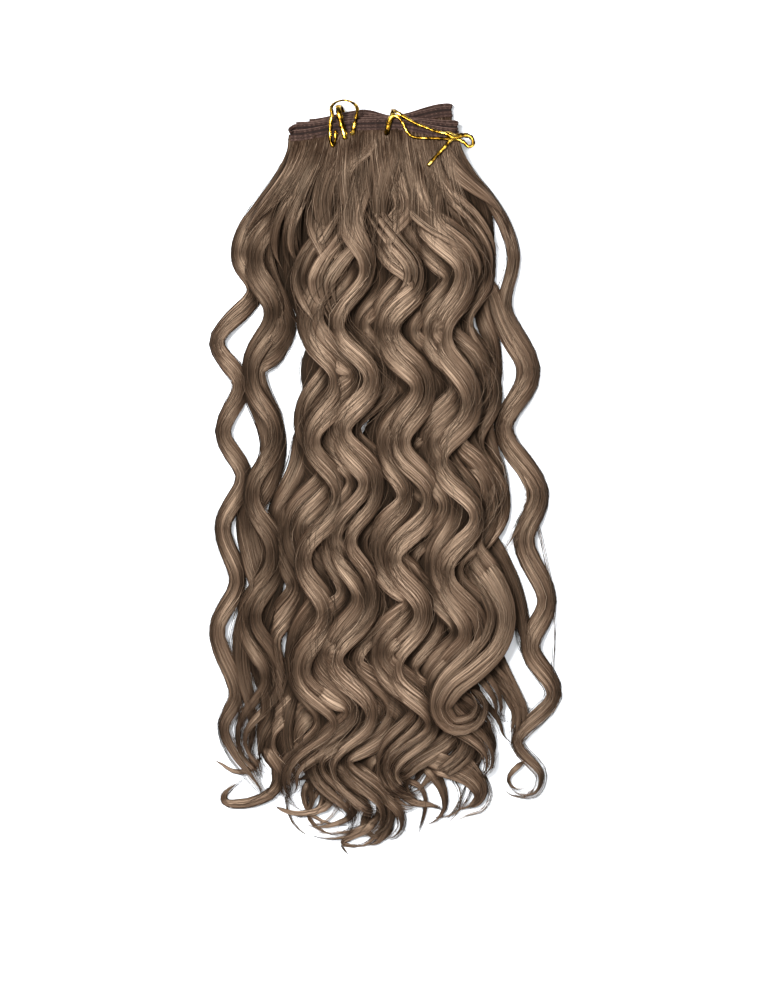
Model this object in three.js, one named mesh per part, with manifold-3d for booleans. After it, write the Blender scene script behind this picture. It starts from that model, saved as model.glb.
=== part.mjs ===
// Wavy hair weft: one stitched band folded back and forth into a flat bundle, the hair that hangs from it
// in wavy locks, and two metallic twist ties round the folded band. The bundle lies on its back.
// Millimetres, +Z up, +Y towards the band. "Drop" is the distance from the band line down the hair.
import * as THREE from "three";
import { mergeVertices } from "three/addons/utils/BufferGeometryUtils.js";
import Module from "manifold-3d";

const wasm = await Module();
wasm.setup();

// Driving dimensions
const bandLineY = 240; // Y of drop 0
const bandHeight = 8; // of the stitched strip, along the hair
const bandThickness = 1.5;
const layerPitch = 3.2; // between folded layers
const lowestLayer = 2.8; // middle of the lowest layer above the surface
const lockBase = 4.2; // middle of the lowest locks above the surface
const lockRise = 5; // from one level of locks to the next
const lockLift = 1.8; // a curl's rise and fall about its own level
const spreadDrop = 100; // the hair has fanned out by here
const waveFrom = 6; // the waves start here
const waveDrop = 100; // and have grown to their full swing this much further down
const fullFrom = 8; // below the stitching a lock swells to its full size
const fullDrop = 45;
const sinkDrop = 70; // and comes down from the band to its level in the pile
const settleFrom = 340; // towards the tips the pile sinks and the curls open out
const settleDrop = 110;
const tipSwing = 1.4; // share of the swing reached at the tips
const tipLevel = 0.55; // share of the level left there
const curlHeight = 2.9; // middle of the tips above the surface
const flatness = 0.56; // a lock's thickness over its width
const rootWidth = 0.85; // share of a lock's width at the stitching
const tipWidth = 0.36; // and at its tip
const taperFrom = 0.72; // share of the length where a lock starts to taper
const taperShare = 0.36;
const rootThickness = 1.5; // hair as it leaves the stitching
const rootFoot = 18; // it has joined the bundle by this drop
const rootInset = 1.2; // from the ends of its layer
const crestRoll = THREE.MathUtils.degToRad(48); // a lock turns its flat side outwards at each crest
const tieThickness = 0.7;
const clearance = 0.4; // kept between separate pieces

// Facets
const stepsPerWave = 6;
const stepsPerLayer = 8;
const stepsPerFold = 4;
const stepsPerStation = 2;
const rootSteps = 9;
const bundleStep = 11;
const curlStep = THREE.MathUtils.degToRad(45);
const weldDistance = 1e-4;
// A lock's section as shares of its width and thickness: a ribbon with a flat face and sloping sides.
const lockSection = [[-0.5, -0.25], [0.5, -0.25], [0.27, 0.5], [-0.27, 0.5]];

// The folded band, from the back layer to the front one: where its ends lie across, and the drop of its
// middle line at the left end, at the arch between the ties, at the right tie and at the right end.
const archX = -15;
const pinchX = 4;
const bandLayers = [
  { leftX: -54, rightX: 43.5, left: -6, arch: -12.5, pinch: -8.5, right: -17 },
  { leftX: -60, rightX: 44.5, left: -3.5, arch: -10, pinch: -7.5, right: -14.5 },
  { leftX: -61.5, rightX: 47.5, left: -2.5, arch: -7.5, pinch: -6.5, right: -4 },
  { leftX: -62.5, rightX: 48.5, left: -1, arch: -5.5, pinch: -5.5, right: -1.5 },
  { leftX: -66, rightX: 49, left: 4, arch: -3.5, pinch: -4, right: 2.5 },
];

// The locks. Across: root at the band, body once spread, tip at the end. Down: end of the waves, one left
// crest, and the wave length. Then swing to each side, width, level in the pile, and the curl of the tip:
// degrees it turns to the left of its way (negative to the right) and its radius.
const lockColumns = [
  "root", "body", "tip", "end", "crest", "wave", "swing", "width", "level", "turn", "radius",
];
const sideRows = [
  [-62, -106, -112, 446, 80, 67.5, 9, 13, 0.1, 30, 14],
  [-55, -86, -95, 444, 85, 85, 9, 14, 0.8, -60, 14],
  [-47, -77, -84, 450, 90, 86, 11, 15, 1, -190, 14],
  [38, 63, 80, 420, 57, 77, 8, 14, 1.2, -40, 14],
  [42, 71, 100, 404, 60, 80, 9, 13, 0.8, -50, 14],
  [46, 82, 114, 455, 51.5, 77, 10, 13, 0.1, -250, 9],
];
const middleRows = [
  [-37, -53, -65, 452, 100, 84, 10, 22, 1.6, 85, 22],
  [-24, -27, -37, 470, 47, 78, 11, 22, 2.2, -110, 17],
  [-12, -11, -14, 478, 58, 77, 11, 18, 2.0, -120, 15],
  [-1, 8, 10, 456, 64, 76, 11, 18, 2.4, 80, 24],
  [11, 22, 29, 446, 66, 78, 12, 18, 2.1, -80, 12],
  [21, 38, 44, 446, 58, 82, 11, 18, 1.7, 60, 12],
  [30, 52, 66, 440, 48, 85, 13, 20, 1.7, -110, 18],
];
// Loose ends between the middle locks, which show only where they leave the bundle.
const endRows = [
  [-50, -48, -52, 462, 96, 82, 10, 17, 0.7, 110, 15],
  [-20, -22, -26, 474, 54, 78, 10, 16, 0.6, -80, 16],
  [0, 0, -2, 484, 62, 77, 10, 16, 0.6, -130, 12],
  [20, 22, 24, 460, 66, 78, 10, 16, 0.7, 100, 16],
  [50, 54, 54, 444, 52, 84, 12, 16, 0.7, -100, 16],
];
const withNames = (names) => (row) => Object.fromEntries(names.map((name, i) => [name, row[i]]));
const named = withNames(lockColumns);
const sideLocks = sideRows.map(named);
const middleLocks = middleRows.map(named);
const looseEnds = endRows.map(named);

// The twist ties as stations along each strip: across, drop, height, the way its face is tipped from
// straight up towards the band, and its width. Each runs round the folded band and on over the front.
const tieColumns = ["x", "drop", "z", "tip", "width"];
const leftTieRows = [
  [-35.2, 0, 17.4, 0, 1.8],
  [-35.4, 7, 17.7, 0, 1.8],
  [-37, 11.5, 18, 0, 1.8],
  [-38.8, 7, 17.7, 0, 1.8],
  [-38.8, -4, 17.3, 0, 2],
  [-37.6, -11, 17.2, 10, 2.4],
  [-38.2, -15.5, 16.4, 45, 2.2],
  [-35.5, -19.5, 13.9, 70, 2],
  [-29, -21.5, 12.4, 80, 2],
  [-22.5, -19, 13.9, 70, 2],
  [-20, -14.5, 16.6, 30, 2],
  [-21, -8, 17.2, 0, 2],
  [-22.6, -1, 17.2, 0, 2.2],
  [-23.6, 4, 15.4, -60, 2.4],
  [-24, 5, 8.9, -90, 2.4],
  [-24.6, 4, 2.8, -120, 2.4],
  [-25.6, 0.6, 1, -175, 2.4],
  [-28, -8, 0.95, -180, 2.4],
  [-30.4, -14.8, 1.1, -185, 2.4],
  [-31.8, -17.8, 4, -245, 2.4],
  [-32.4, -18.2, 7.4, -270, 2.6],
  [-33.4, -17, 14.9, -300, 3],
  [-33, -12.5, 17.3, -355, 3.2],
  [-31.4, -6, 17.3, -360, 3.4],
  [-29.4, 1, 17.3, -360, 3.2],
  [-28.6, 6.5, 17.5, -360, 2.6],
];
const rightTieRows = [
  [29, 25.5, 19.3, 0, 2.2],
  [37, 16.5, 19, 0, 2],
  [44.5, 8, 19, 0, 2],
  [47.4, 4.6, 18.6, 0, 2],
  [45, 2.8, 17.8, 0, 2],
  [40, 2.4, 17.3, 0, 1.8],
  [31, -0.4, 17.2, 0, 1.8],
  [20, -4.8, 17.2, 0, 1.8],
  [11.5, -9.6, 17.2, 0, 2],
  [7, -13, 16.2, 40, 2.2],
  [5.4, -15.6, 10.4, 90, 2.4],
  [4.8, -15.8, 4, 110, 2.4],
  [4.3, -13.8, 1.15, 170, 2.4],
  [3, -7, 0.95, 180, 2.4],
  [1.4, 0.4, 1, 185, 2.4],
  [0.5, 4.2, 2.8, 240, 2.4],
  [0.2, 5, 9.4, 270, 2.6],
  [0.4, 4, 15.4, 310, 2.8],
  [1, 0, 17.2, 355, 3],
  [2.6, -6, 17.2, 360, 3.2],
  [5, -9.8, 17.3, 360, 2.4],
  [8.6, -8.4, 17.3, 360, 1.8],
  [11.8, -4.6, 17.2, 360, 1.8],
  [14.2, 0.6, 17.2, 360, 1.8],
  [18, 4.6, 17.2, 360, 1.8],
  [25, 5.8, 17.2, 360, 1.8],
  [34, 6, 17.3, 360, 1.8],
  [42, 6.4, 17.3, 360, 2],
  [49, 6.4, 17.3, 360, 2.2],
  [54, 8.6, 17.2, 360, 2.2],
  [57.6, 11.6, 17, 360, 2.2],
  [60.4, 10.6, 16.8, 360, 2.2],
  [60.8, 7.8, 16.8, 360, 2.2],
];

// Helpers for shapes
const smooth = (t) => THREE.MathUtils.smoothstep(t, 0, 1);
const mix = THREE.MathUtils.lerp;

// Triangles that close a flat ring, as positions in it.
function capFaces(points) {
  const normal = new THREE.Vector3();
  points.forEach((point, i) => {
    const next = points[(i + 1) % points.length];
    normal.add(new THREE.Vector3().crossVectors(point.clone().sub(points[0]), next.clone().sub(points[0])));
  });
  const flatten = new THREE.Quaternion().setFromUnitVectors(normal.normalize(), new THREE.Vector3(0, 0, 1));
  const outline = points.map((point) => {
    const flat = point.clone().applyQuaternion(flatten);
    return new THREE.Vector2(flat.x, flat.y);
  });
  return THREE.ShapeUtils.triangulateShape(outline, []);
}

// A closed solid skinned through rings of points, all with the same count, with flat ends.
function loft(rings) {
  const sides = rings[0].length;
  const last = (rings.length - 1) * sides;
  const indices = [];
  for (let r = 0; r < last; r += sides) {
    for (let s = 0; s < sides; s += 1) {
      const a = r + s;
      const b = r + ((s + 1) % sides);
      indices.push(a, b, b + sides, a, b + sides, a + sides);
    }
  }
  for (const [a, b, c] of capFaces(rings[0])) indices.push(a, c, b);
  for (const [a, b, c] of capFaces(rings.at(-1))) indices.push(last + a, last + b, last + c);
  const geometry = new THREE.BufferGeometry().setFromPoints(rings.flat());
  geometry.setIndex(indices);
  return geometry;
}

// A ring of points about a place, from offsets along two directions.
function ring(place, across, up, offsets) {
  return offsets.map(([a, u]) => place.clone().addScaledVector(across, a).addScaledVector(up, u));
}

const toSolid = (geometry) => {
  const bare = geometry.clone();
  bare.deleteAttribute("normal");
  bare.deleteAttribute("uv");
  const merged = mergeVertices(bare, weldDistance);
  const mesh = new wasm.Mesh({
    numProp: 3,
    vertProperties: merged.getAttribute("position").array,
    triVerts: new Uint32Array(merged.index.array),
  });
  return new wasm.Manifold(mesh);
};

const toGeometry = (solid) => {
  const { vertProperties, triVerts, numProp } = solid.getMesh();
  const geometry = new THREE.BufferGeometry();
  geometry.setAttribute("position", new THREE.BufferAttribute(vertProperties, numProp));
  geometry.setIndex(new THREE.BufferAttribute(triVerts, 1));
  geometry.computeVertexNormals();
  return geometry;
};

const largestBody = (solid) => solid.decompose().reduce((a, b) => (a.volume() > b.volume() ? a : b));

// The folded band
function bandDrop(layer, x) {
  const row = bandLayers[layer];
  if (x < archX) return mix(row.left, row.arch, smooth((x - row.leftX) / (archX - row.leftX)));
  if (x < pinchX) return mix(row.arch, row.pinch, smooth((x - archX) / (pinchX - archX)));
  return mix(row.pinch, row.right, smooth((x - pinchX) / (row.rightX - pinchX)));
}

const layerZ = (layer) => lowestLayer + layerPitch * layer;
const frontLayer = bandLayers.length - 1;

// Places along the band with the direction it runs in, through every layer and fold.
function bandPath() {
  const stations = [];
  bandLayers.forEach((row, layer) => {
    const rightwards = layer % 2 === 0;
    const [from, to] = rightwards ? [row.leftX, row.rightX] : [row.rightX, row.leftX];
    for (let i = 0; i <= stepsPerLayer; i += 1) {
      const x = mix(from, to, i / stepsPerLayer);
      const place = new THREE.Vector3(x, bandLineY - bandDrop(layer, x), layerZ(layer));
      stations.push({ place, angle: rightwards ? 0 : Math.PI });
    }
    if (layer + 1 === bandLayers.length) return;
    const next = bandLayers[layer + 1];
    const nextX = rightwards ? next.rightX : next.leftX;
    for (let i = 1; i < stepsPerFold; i += 1) {
      const share = i / stepsPerFold;
      const turn = Math.PI * share;
      const bulge = (layerPitch / 2) * Math.sin(turn) * (rightwards ? 1 : -1);
      const drop = mix(bandDrop(layer, to), bandDrop(layer + 1, nextX), share);
      const z = layerZ(layer) + (layerPitch / 2) * (1 - Math.cos(turn));
      stations.push({
        place: new THREE.Vector3(mix(to, nextX, share) + bulge, bandLineY - drop, z),
        angle: rightwards ? turn : Math.PI - turn,
      });
    }
  });
  return stations;
}

function bandGeometry(margin = 0) {
  const h = bandHeight / 2 + margin;
  const t = bandThickness / 2 + margin;
  const along = new THREE.Vector3(0, 1, 0);
  const rings = bandPath().map(({ place, angle }) => {
    const normal = new THREE.Vector3(-Math.sin(angle), 0, Math.cos(angle));
    return ring(place, along, normal, [[h, t], [-h, t], [-h, -t], [h, -t]]);
  });
  return loft(rings);
}

// The locks
function lockHeight(lock, drop) {
  const pile = lockBase + lockRise * lock.level;
  const tipPile = lockBase + tipLevel * lockRise * lock.level;
  const body = mix(layerZ(frontLayer), pile, smooth((drop - fullFrom) / sinkDrop));
  return mix(body, tipPile, smooth((drop - settleFrom) / settleDrop));
}

function lockPoint(lock, drop) {
  const lean = Math.max(0, (drop - spreadDrop) / (lock.end - spreadDrop));
  const axis = mix(lock.root, lock.body, smooth(drop / spreadDrop)) + (lock.tip - lock.body) * lean;
  const phase = (2 * Math.PI * (drop - lock.crest)) / lock.wave;
  const grown = smooth((drop - waveFrom) / waveDrop);
  const swing = lock.swing * grown * mix(1, tipSwing, smooth((drop - settleFrom) / settleDrop));
  return {
    place: new THREE.Vector3(
      axis - swing * Math.cos(phase),
      bandLineY - drop,
      lockHeight(lock, drop) + lockLift * grown * Math.sin(phase),
    ),
    roll: crestRoll * grown * Math.cos(phase),
  };
}

// Places along a lock with its roll: down the waves, then round the curl of its tip.
function lockPath(lock, start) {
  const steps = Math.ceil((lock.end - start) / (lock.wave / stepsPerWave));
  const path = [];
  for (let i = 0; i <= steps; i += 1) path.push(lockPoint(lock, mix(start, lock.end, i / steps)));
  const last = path.at(-1).place;
  const before = lockPoint(lock, lock.end - 1).place;
  const heading = Math.atan2(last.y - before.y, last.x - before.x);
  const turn = THREE.MathUtils.degToRad(lock.turn);
  const side = Math.sign(turn);
  const centre = new THREE.Vector2(last.x, last.y).add(
    new THREE.Vector2(-Math.sin(heading), Math.cos(heading)).multiplyScalar(side * lock.radius));
  const curlSteps = Math.ceil(Math.abs(turn) / curlStep);
  for (let i = 1; i <= curlSteps; i += 1) {
    const share = i / curlSteps;
    const angle = heading - (side * Math.PI) / 2 + turn * share;
    path.push({
      place: new THREE.Vector3(
        centre.x + lock.radius * Math.cos(angle),
        centre.y + lock.radius * Math.sin(angle),
        mix(last.z, curlHeight, share),
      ),
      roll: path[steps].roll * (1 - share),
    });
  }
  return path;
}

// Width and thickness at a drop: flat at the stitching, full, then fine at the tip.
function lockSize(lock, drop) {
  const full = smooth((drop - fullFrom) / fullDrop);
  const tapered = smooth((drop - taperFrom * lock.end) / (taperShare * lock.end));
  const taper = mix(1, tipWidth, tapered);
  const width = lock.width * mix(rootWidth, 1, full) * taper;
  return { width, thickness: mix(rootThickness, lock.width * flatness * taper, full) };
}

function lockGeometry(lock, start) {
  const path = lockPath(lock, start);
  const rings = path.map(({ place, roll }, i) => {
    const next = path[Math.min(i + 1, path.length - 1)].place;
    const along = next.clone().sub(path[Math.max(i - 1, 0)].place).normalize();
    const level = new THREE.Vector3(-along.y, along.x, 0).normalize();
    const across = level.applyAxisAngle(along, roll);
    const up = along.clone().cross(across);
    const { width, thickness } = lockSize(lock, bandLineY - place.y);
    return ring(place, across, up, lockSection.map(([a, u]) => [a * width, u * thickness]));
  });
  return loft(rings);
}

// The middle of the bundle: its locks side by side as ridges with furrows between them, down to a flat back.
const bundleFrom = 8;
const bundleTo = 436;
const bundleEndShare = 0.45; // of its height where it ends
const tipFrom = 384; // the middle locks part from the bundle from here
const rootSpan = { left: -58, right: 44, foot: 1.5, footDrop: 16 };
const shoulderSpan = { left: -66, right: 58, drop: 60 };
const wavyEdge = { from: 40, drop: 70 }; // below this its edges follow the outer locks
const shoulderShare = 0.55; // of the way from a ridge to the next furrow
const shoulderDroop = 0.12; // and how far it lies below the ridge, as a share of the thickness
const shoulderTilt = 0.4; // how much of a lock's roll its shoulders take
const furrowDepth = 0.25; // below the middle of the lock, as a share of the thickness
const leastHeight = 1; // of a furrow over the back
const flankShare = 0.4; // height of the bundle's side over that of its first lock

function bundleRing(drop) {
  const ridges = middleLocks.map((lock) => ({ ...lockPoint(lock, drop), ...lockSize(lock, drop) }));
  const fanned = smooth(drop / shoulderSpan.drop);
  const free = smooth((drop - wavyEdge.from) / wavyEdge.drop);
  const edge = (side, ridge, half) =>
    mix(mix(rootSpan[side], shoulderSpan[side], fanned), ridge.place.x + half * ridge.width, free);
  const left = edge("left", ridges[0], -0.5);
  const right = edge("right", ridges.at(-1), 0.5);
  const low = mix(rootSpan.foot, 0, smooth((drop - bundleFrom) / rootSpan.footDrop));
  const thin = mix(1, bundleEndShare, smooth((drop - settleFrom) / (bundleTo - settleFrom)));
  const top = [];
  ridges.forEach((ridge, i) => {
    const { place, roll, thickness } = ridge;
    const before = i > 0 ? ridges[i - 1].place : new THREE.Vector3(2 * left - place.x, 0, 0);
    const after = i + 1 < ridges.length ? ridges[i + 1].place : new THREE.Vector3(2 * right - place.x, 0, 0);
    const crown = place.z + thickness / 2;
    const reachLeft = (shoulderShare * (place.x - before.x)) / 2;
    const reachRight = (shoulderShare * (after.x - place.x)) / 2;
    const shoulder = crown - shoulderDroop * thickness;
    const tilt = shoulderTilt * Math.sin(roll);
    top.push([place.x - reachLeft, shoulder - tilt * reachLeft]);
    top.push([place.x, crown]);
    top.push([place.x + reachRight, shoulder + tilt * reachRight]);
    if (i + 1 < ridges.length) {
      const furrow = Math.min(place.z, after.z) - furrowDepth * thickness;
      top.push([(place.x + after.x) / 2, Math.max(furrow, low + leastHeight)]);
    }
  });
  const flank = mix(low, ridges[0].place.z, flankShare);
  const lowered = top.reverse().map(([x, z]) => [x, z * thin]);
  const outline = [[left, low], [right, low], [right, flank * thin], ...lowered, [left, flank * thin]];
  return outline.map(([x, z]) => new THREE.Vector3(x, bandLineY - drop, z));
}

function bundleGeometry() {
  const steps = Math.round((bundleTo - bundleFrom) / bundleStep);
  const rings = [];
  for (let i = 0; i <= steps; i += 1) rings.push(bundleRing(mix(bundleFrom, bundleTo, i / steps)));
  return loft(rings);
}

// The hair as it leaves one layer of the band, down into the bundle.
function rootGeometry(layer) {
  const row = bandLayers[layer];
  const t = rootThickness / 2;
  const foot = bandLineY - rootFoot;
  const z = layerZ(layer);
  const rings = [];
  for (let i = 0; i <= rootSteps; i += 1) {
    const x = mix(row.leftX + rootInset, row.rightX - rootInset, i / rootSteps);
    const top = bandLineY - bandDrop(layer, x) - bandHeight / 2 - clearance;
    const corners = [[top, z + t], [foot, z + t], [foot, z - t], [top, z - t]];
    rings.push(corners.map(([y, height]) => new THREE.Vector3(x, y, height)));
  }
  return loft(rings);
}

// The surface that the bundle lies on, as a block to trim away.
const groundSize = 700;

function groundSolid() {
  const block = new THREE.BoxGeometry(groundSize, groundSize, groundSize);
  return toSolid(block.translate(0, 0, -groundSize / 2));
}

function hairGeometry(cutters) {
  const roots = bandLayers.map((_, layer) => rootGeometry(layer));
  const sides = sideLocks.map((lock) => {
    const start = bandDrop(frontLayer, lock.root) + bandHeight / 2 + clearance;
    return lockGeometry(lock, start);
  });
  const tips = [...middleLocks, ...looseEnds].map((lock) => lockGeometry(lock, tipFrom));
  const shapes = [bundleGeometry(), ...roots, ...sides, ...tips];
  let solid = shapes.map(toSolid).reduce((a, b) => a.add(b));
  for (const cutter of [groundSolid(), ...cutters]) solid = solid.subtract(cutter);
  return toGeometry(largestBody(solid));
}

// The twist ties: flat strips swept through their stations.
function tieGeometry(rows, margin = 0) {
  const stations = rows.map(withNames(tieColumns));
  const curve = new THREE.CatmullRomCurve3(
    stations.map(({ x, drop, z }) => new THREE.Vector3(x, bandLineY - drop, z)), false, "centripetal");
  const last = stations.length - 1;
  const rings = [];
  for (let i = 0; i <= last * stepsPerStation; i += 1) {
    const along = curve.getTangent(i / (last * stepsPerStation));
    const from = Math.min(Math.floor(i / stepsPerStation), last - 1);
    const share = i / stepsPerStation - from;
    const blend = (column) => mix(stations[from][column], stations[from + 1][column], share);
    const tip = THREE.MathUtils.degToRad(blend("tip"));
    const face = new THREE.Vector3(0, Math.sin(tip), Math.cos(tip));
    const across = face.cross(along).normalize();
    const up = along.clone().cross(across);
    const w = blend("width") / 2 + margin;
    const t = tieThickness / 2 + margin;
    const place = curve.getPoint(i / (last * stepsPerStation));
    if (i === 0) place.addScaledVector(along, -margin);
    if (i === last * stepsPerStation) place.addScaledVector(along, margin);
    rings.push(ring(place, across, up, [[w, t], [-w, t], [-w, -t], [w, -t]]));
  }
  return loft(rings);
}

const material = (color, roughness, metalness) =>
  new THREE.MeshStandardMaterial({ color, roughness, metalness });
const hairBrown = material(0x6b5747, 0.5, 0);
const stitchBrown = material(0x54453c, 0.75, 0);
const leftGold = material(0xc9a03a, 0.3, 0.9);
const rightGold = material(0xcfa743, 0.3, 0.9);

function piece(name, geometry, finish) {
  const mesh = new THREE.Mesh(geometry, finish);
  mesh.name = name;
  return mesh;
}

const neighbours = [
  bandGeometry(clearance), tieGeometry(leftTieRows, clearance), tieGeometry(rightTieRows, clearance),
];
const weft = new THREE.Group();
weft.add(piece("weft_band", bandGeometry(), stitchBrown));
weft.add(piece("hair", hairGeometry(neighbours.map(toSolid)), hairBrown));
weft.add(piece("twist_tie_left", tieGeometry(leftTieRows), leftGold));
weft.add(piece("twist_tie_right", tieGeometry(rightTieRows), rightGold));

// The frame: the bottom centre of the bundle.
const bounds = new THREE.Box3().setFromObject(weft);
const middle = bounds.getCenter(new THREE.Vector3());
weft.position.set(-middle.x, -middle.y, -bounds.min.z);

export default weft;
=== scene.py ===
import math

import bpy
import numpy as np
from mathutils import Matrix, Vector


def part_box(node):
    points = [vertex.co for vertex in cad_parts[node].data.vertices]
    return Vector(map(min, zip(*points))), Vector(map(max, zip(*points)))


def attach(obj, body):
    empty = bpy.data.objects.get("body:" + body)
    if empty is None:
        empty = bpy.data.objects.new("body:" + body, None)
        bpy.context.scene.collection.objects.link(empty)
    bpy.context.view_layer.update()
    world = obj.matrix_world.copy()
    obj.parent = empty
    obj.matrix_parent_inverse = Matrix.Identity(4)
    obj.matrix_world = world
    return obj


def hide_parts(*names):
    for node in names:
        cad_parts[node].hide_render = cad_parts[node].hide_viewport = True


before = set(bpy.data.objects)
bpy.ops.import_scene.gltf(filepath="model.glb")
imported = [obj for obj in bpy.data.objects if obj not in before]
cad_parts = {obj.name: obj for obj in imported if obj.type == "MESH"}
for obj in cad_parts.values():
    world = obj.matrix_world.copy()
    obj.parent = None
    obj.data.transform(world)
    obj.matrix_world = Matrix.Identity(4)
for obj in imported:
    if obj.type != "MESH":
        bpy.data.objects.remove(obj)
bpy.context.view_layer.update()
rng = np.random.default_rng(41)
mm = 0.001
scene = bpy.context.scene
print("frame loaded:", sorted(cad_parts))


# small helpers

def smooth(t):
    t = np.clip(t, 0, 1)
    return t * t * (3 - 2 * t)


def late(share, start):                 # 0 up to the start, then eases up to 1
    return smooth((share - start) / (1 - start))


def mix(a, b, t):
    return a + (b - a) * t


def unit(v):
    return v / np.maximum(np.linalg.norm(v, axis=-1, keepdims=True), 1e-9)


def evened(values, count):              # a running mean
    return np.convolve(np.pad(values, count // 2, mode="edge"), np.ones(count) / count, mode="valid")


def around(sides):                      # angles of a ring's corners
    return np.arange(sides) * 2 * math.pi / sides


def named(columns, rows):
    return [dict(zip(columns, row)) for row in rows]


# the stitched band: folded back and forth, every layer sags and climbs a little differently
band = {
    "lineY": 240.0,      # the band's level line in the table's millimetres
    "height": 8.0,
    "thickness": 1.5,
    "lowest": 2.8,       # middle of the back layer above the floor
    "pitch": 3.2,        # from layer to layer
    "archX": -15.0,      # between the two ties
    "pinchX": 4.0,       # under the right tie
    "pathStep": 1.2,
    "foldSteps": 9,
    "toneSpread": 0.10,
}
layerColumns = ("leftX", "rightX", "left", "arch", "pinch", "right")
bandLayers = named(layerColumns, [      # back to front, drops below the level line
    (-54.0, 43.5, -6.0, -12.5, -8.5, -17.0),
    (-60.0, 44.5, -3.5, -10.0, -7.5, -14.5),
    (-61.5, 47.5, -2.5, -7.5, -6.5, -4.0),
    (-62.5, 48.5, -1.0, -5.5, -5.5, -1.5),
    (-66.0, 49.0, 4.0, -3.5, -4.0, 2.5),
])
frontLayer = len(bandLayers) - 1


def bandDrop(layer, x):
    row = bandLayers[layer]
    knotX = (row["leftX"], band["archX"], band["pinchX"], row["rightX"])
    knotDrop = (row["left"], row["arch"], row["pinch"], row["right"])
    x = np.clip(np.asarray(x, float), knotX[0], knotX[-1])
    drop = np.full(x.shape, knotDrop[0])
    for i in range(len(knotX) - 1):
        share = smooth((x - knotX[i]) / (knotX[i + 1] - knotX[i]))
        drop = np.where(x >= knotX[i], mix(knotDrop[i], knotDrop[i + 1], share), drop)
    return drop


def layerZ(layer):
    return band["lowest"] + band["pitch"] * layer


def bandPath():
    path = []
    for layer, row in enumerate(bandLayers):
        count = int((row["rightX"] - row["leftX"]) / band["pathStep"])
        x = np.linspace(row["leftX"], row["rightX"], count)
        if layer % 2:                     # the strip goes to the right and comes back
            x = x[::-1]
        run = np.stack([x, band["lineY"] - bandDrop(layer, x), np.full(count, layerZ(layer))], axis=1)
        path.append(run)
        if layer == frontLayer:
            continue
        side = "rightX" if layer % 2 == 0 else "leftX"
        outward = 1 if side == "rightX" else -1
        nextX = bandLayers[layer + 1][side]
        nextY = band["lineY"] - float(bandDrop(layer + 1, nextX))
        turn = np.linspace(0, math.pi, band["foldSteps"])[1:-1, None]
        share = (1 - np.cos(turn)) / 2    # a half round between the layers
        fold = mix(run[-1], np.array([nextX, nextY, layerZ(layer + 1)]), share)
        fold[:, :1] += outward * band["pitch"] / 2 * np.sin(turn)
        path.append(fold)
    return np.concatenate(path)


bandLine = bandPath()
boxLow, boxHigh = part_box("weft_band")
halfBand = np.array([band["thickness"] / 2, band["height"] / 2, band["thickness"] / 2])
tableMiddle = (bandLine.min(0) - halfBand + bandLine.max(0) + halfBand) / 2
shift = (np.array(boxLow) + np.array(boxHigh)) / 2 / mm - tableMiddle   # table to frame
shift[2] = 0.0
print("table to frame shift, mm:", shift.round(3).tolist())


# meshes are collected as arrays of tubes and put together once for each piece
bakeMap = {"name": "OFBake", "column": 0.9, "margin": 0.002}    # every tube has a column of its own


def newBatch():
    lists = ("points", "corners", "sizes", "uv", "tone", "along", "lane", "tops")
    return {name: [] for name in lists} | {"count": 0, "column": 0}


def addTubes(batch, rings, tone, along=0.0, lane=0.0):
    tubes, steps, sides = rings.shape[:3]     # rings: tubes, steps, sides, xyz
    index = batch["count"] + np.arange(tubes * steps * sides).reshape(tubes, steps, sides)
    beside = np.roll(index, -1, axis=2)
    quads = np.stack([index[:, :-1], beside[:, :-1], beside[:, 1:], index[:, 1:]], axis=-1)
    caps = np.concatenate([index[:, 0, ::-1], index[:, -1]])
    u = batch["column"] + np.arange(tubes)[:, None] + bakeMap["column"] * np.arange(sides + 1)[None] / sides
    v = np.linspace(bakeMap["margin"], 1 - bakeMap["margin"], steps)
    grid = np.zeros((tubes, steps, sides + 1, 2))
    grid[..., 0] = u[:, None]
    grid[..., 1] = v[None, :, None]
    quadUv = np.stack([grid[:, :-1, :-1], grid[:, :-1, 1:], grid[:, 1:, 1:], grid[:, 1:, :-1]], axis=-2)
    capUv = np.concatenate([grid[:, 0, :-1][:, ::-1], grid[:, -1, :-1]])
    batch["points"].append(rings.reshape(-1, 3))
    batch["corners"] += [quads.ravel(), caps.ravel()]
    batch["sizes"] += [np.full(quads.size // 4, 4), np.full(len(caps), sides)]
    batch["uv"] += [quadUv.reshape(-1, 2), capUv.reshape(-1, 2)]
    for key, value in (("tone", tone), ("along", along), ("lane", lane)):
        batch[key].append(np.broadcast_to(value, (tubes, steps, sides)).ravel())
    batch["count"] += rings[..., 0].size
    batch["column"] += tubes


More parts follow.
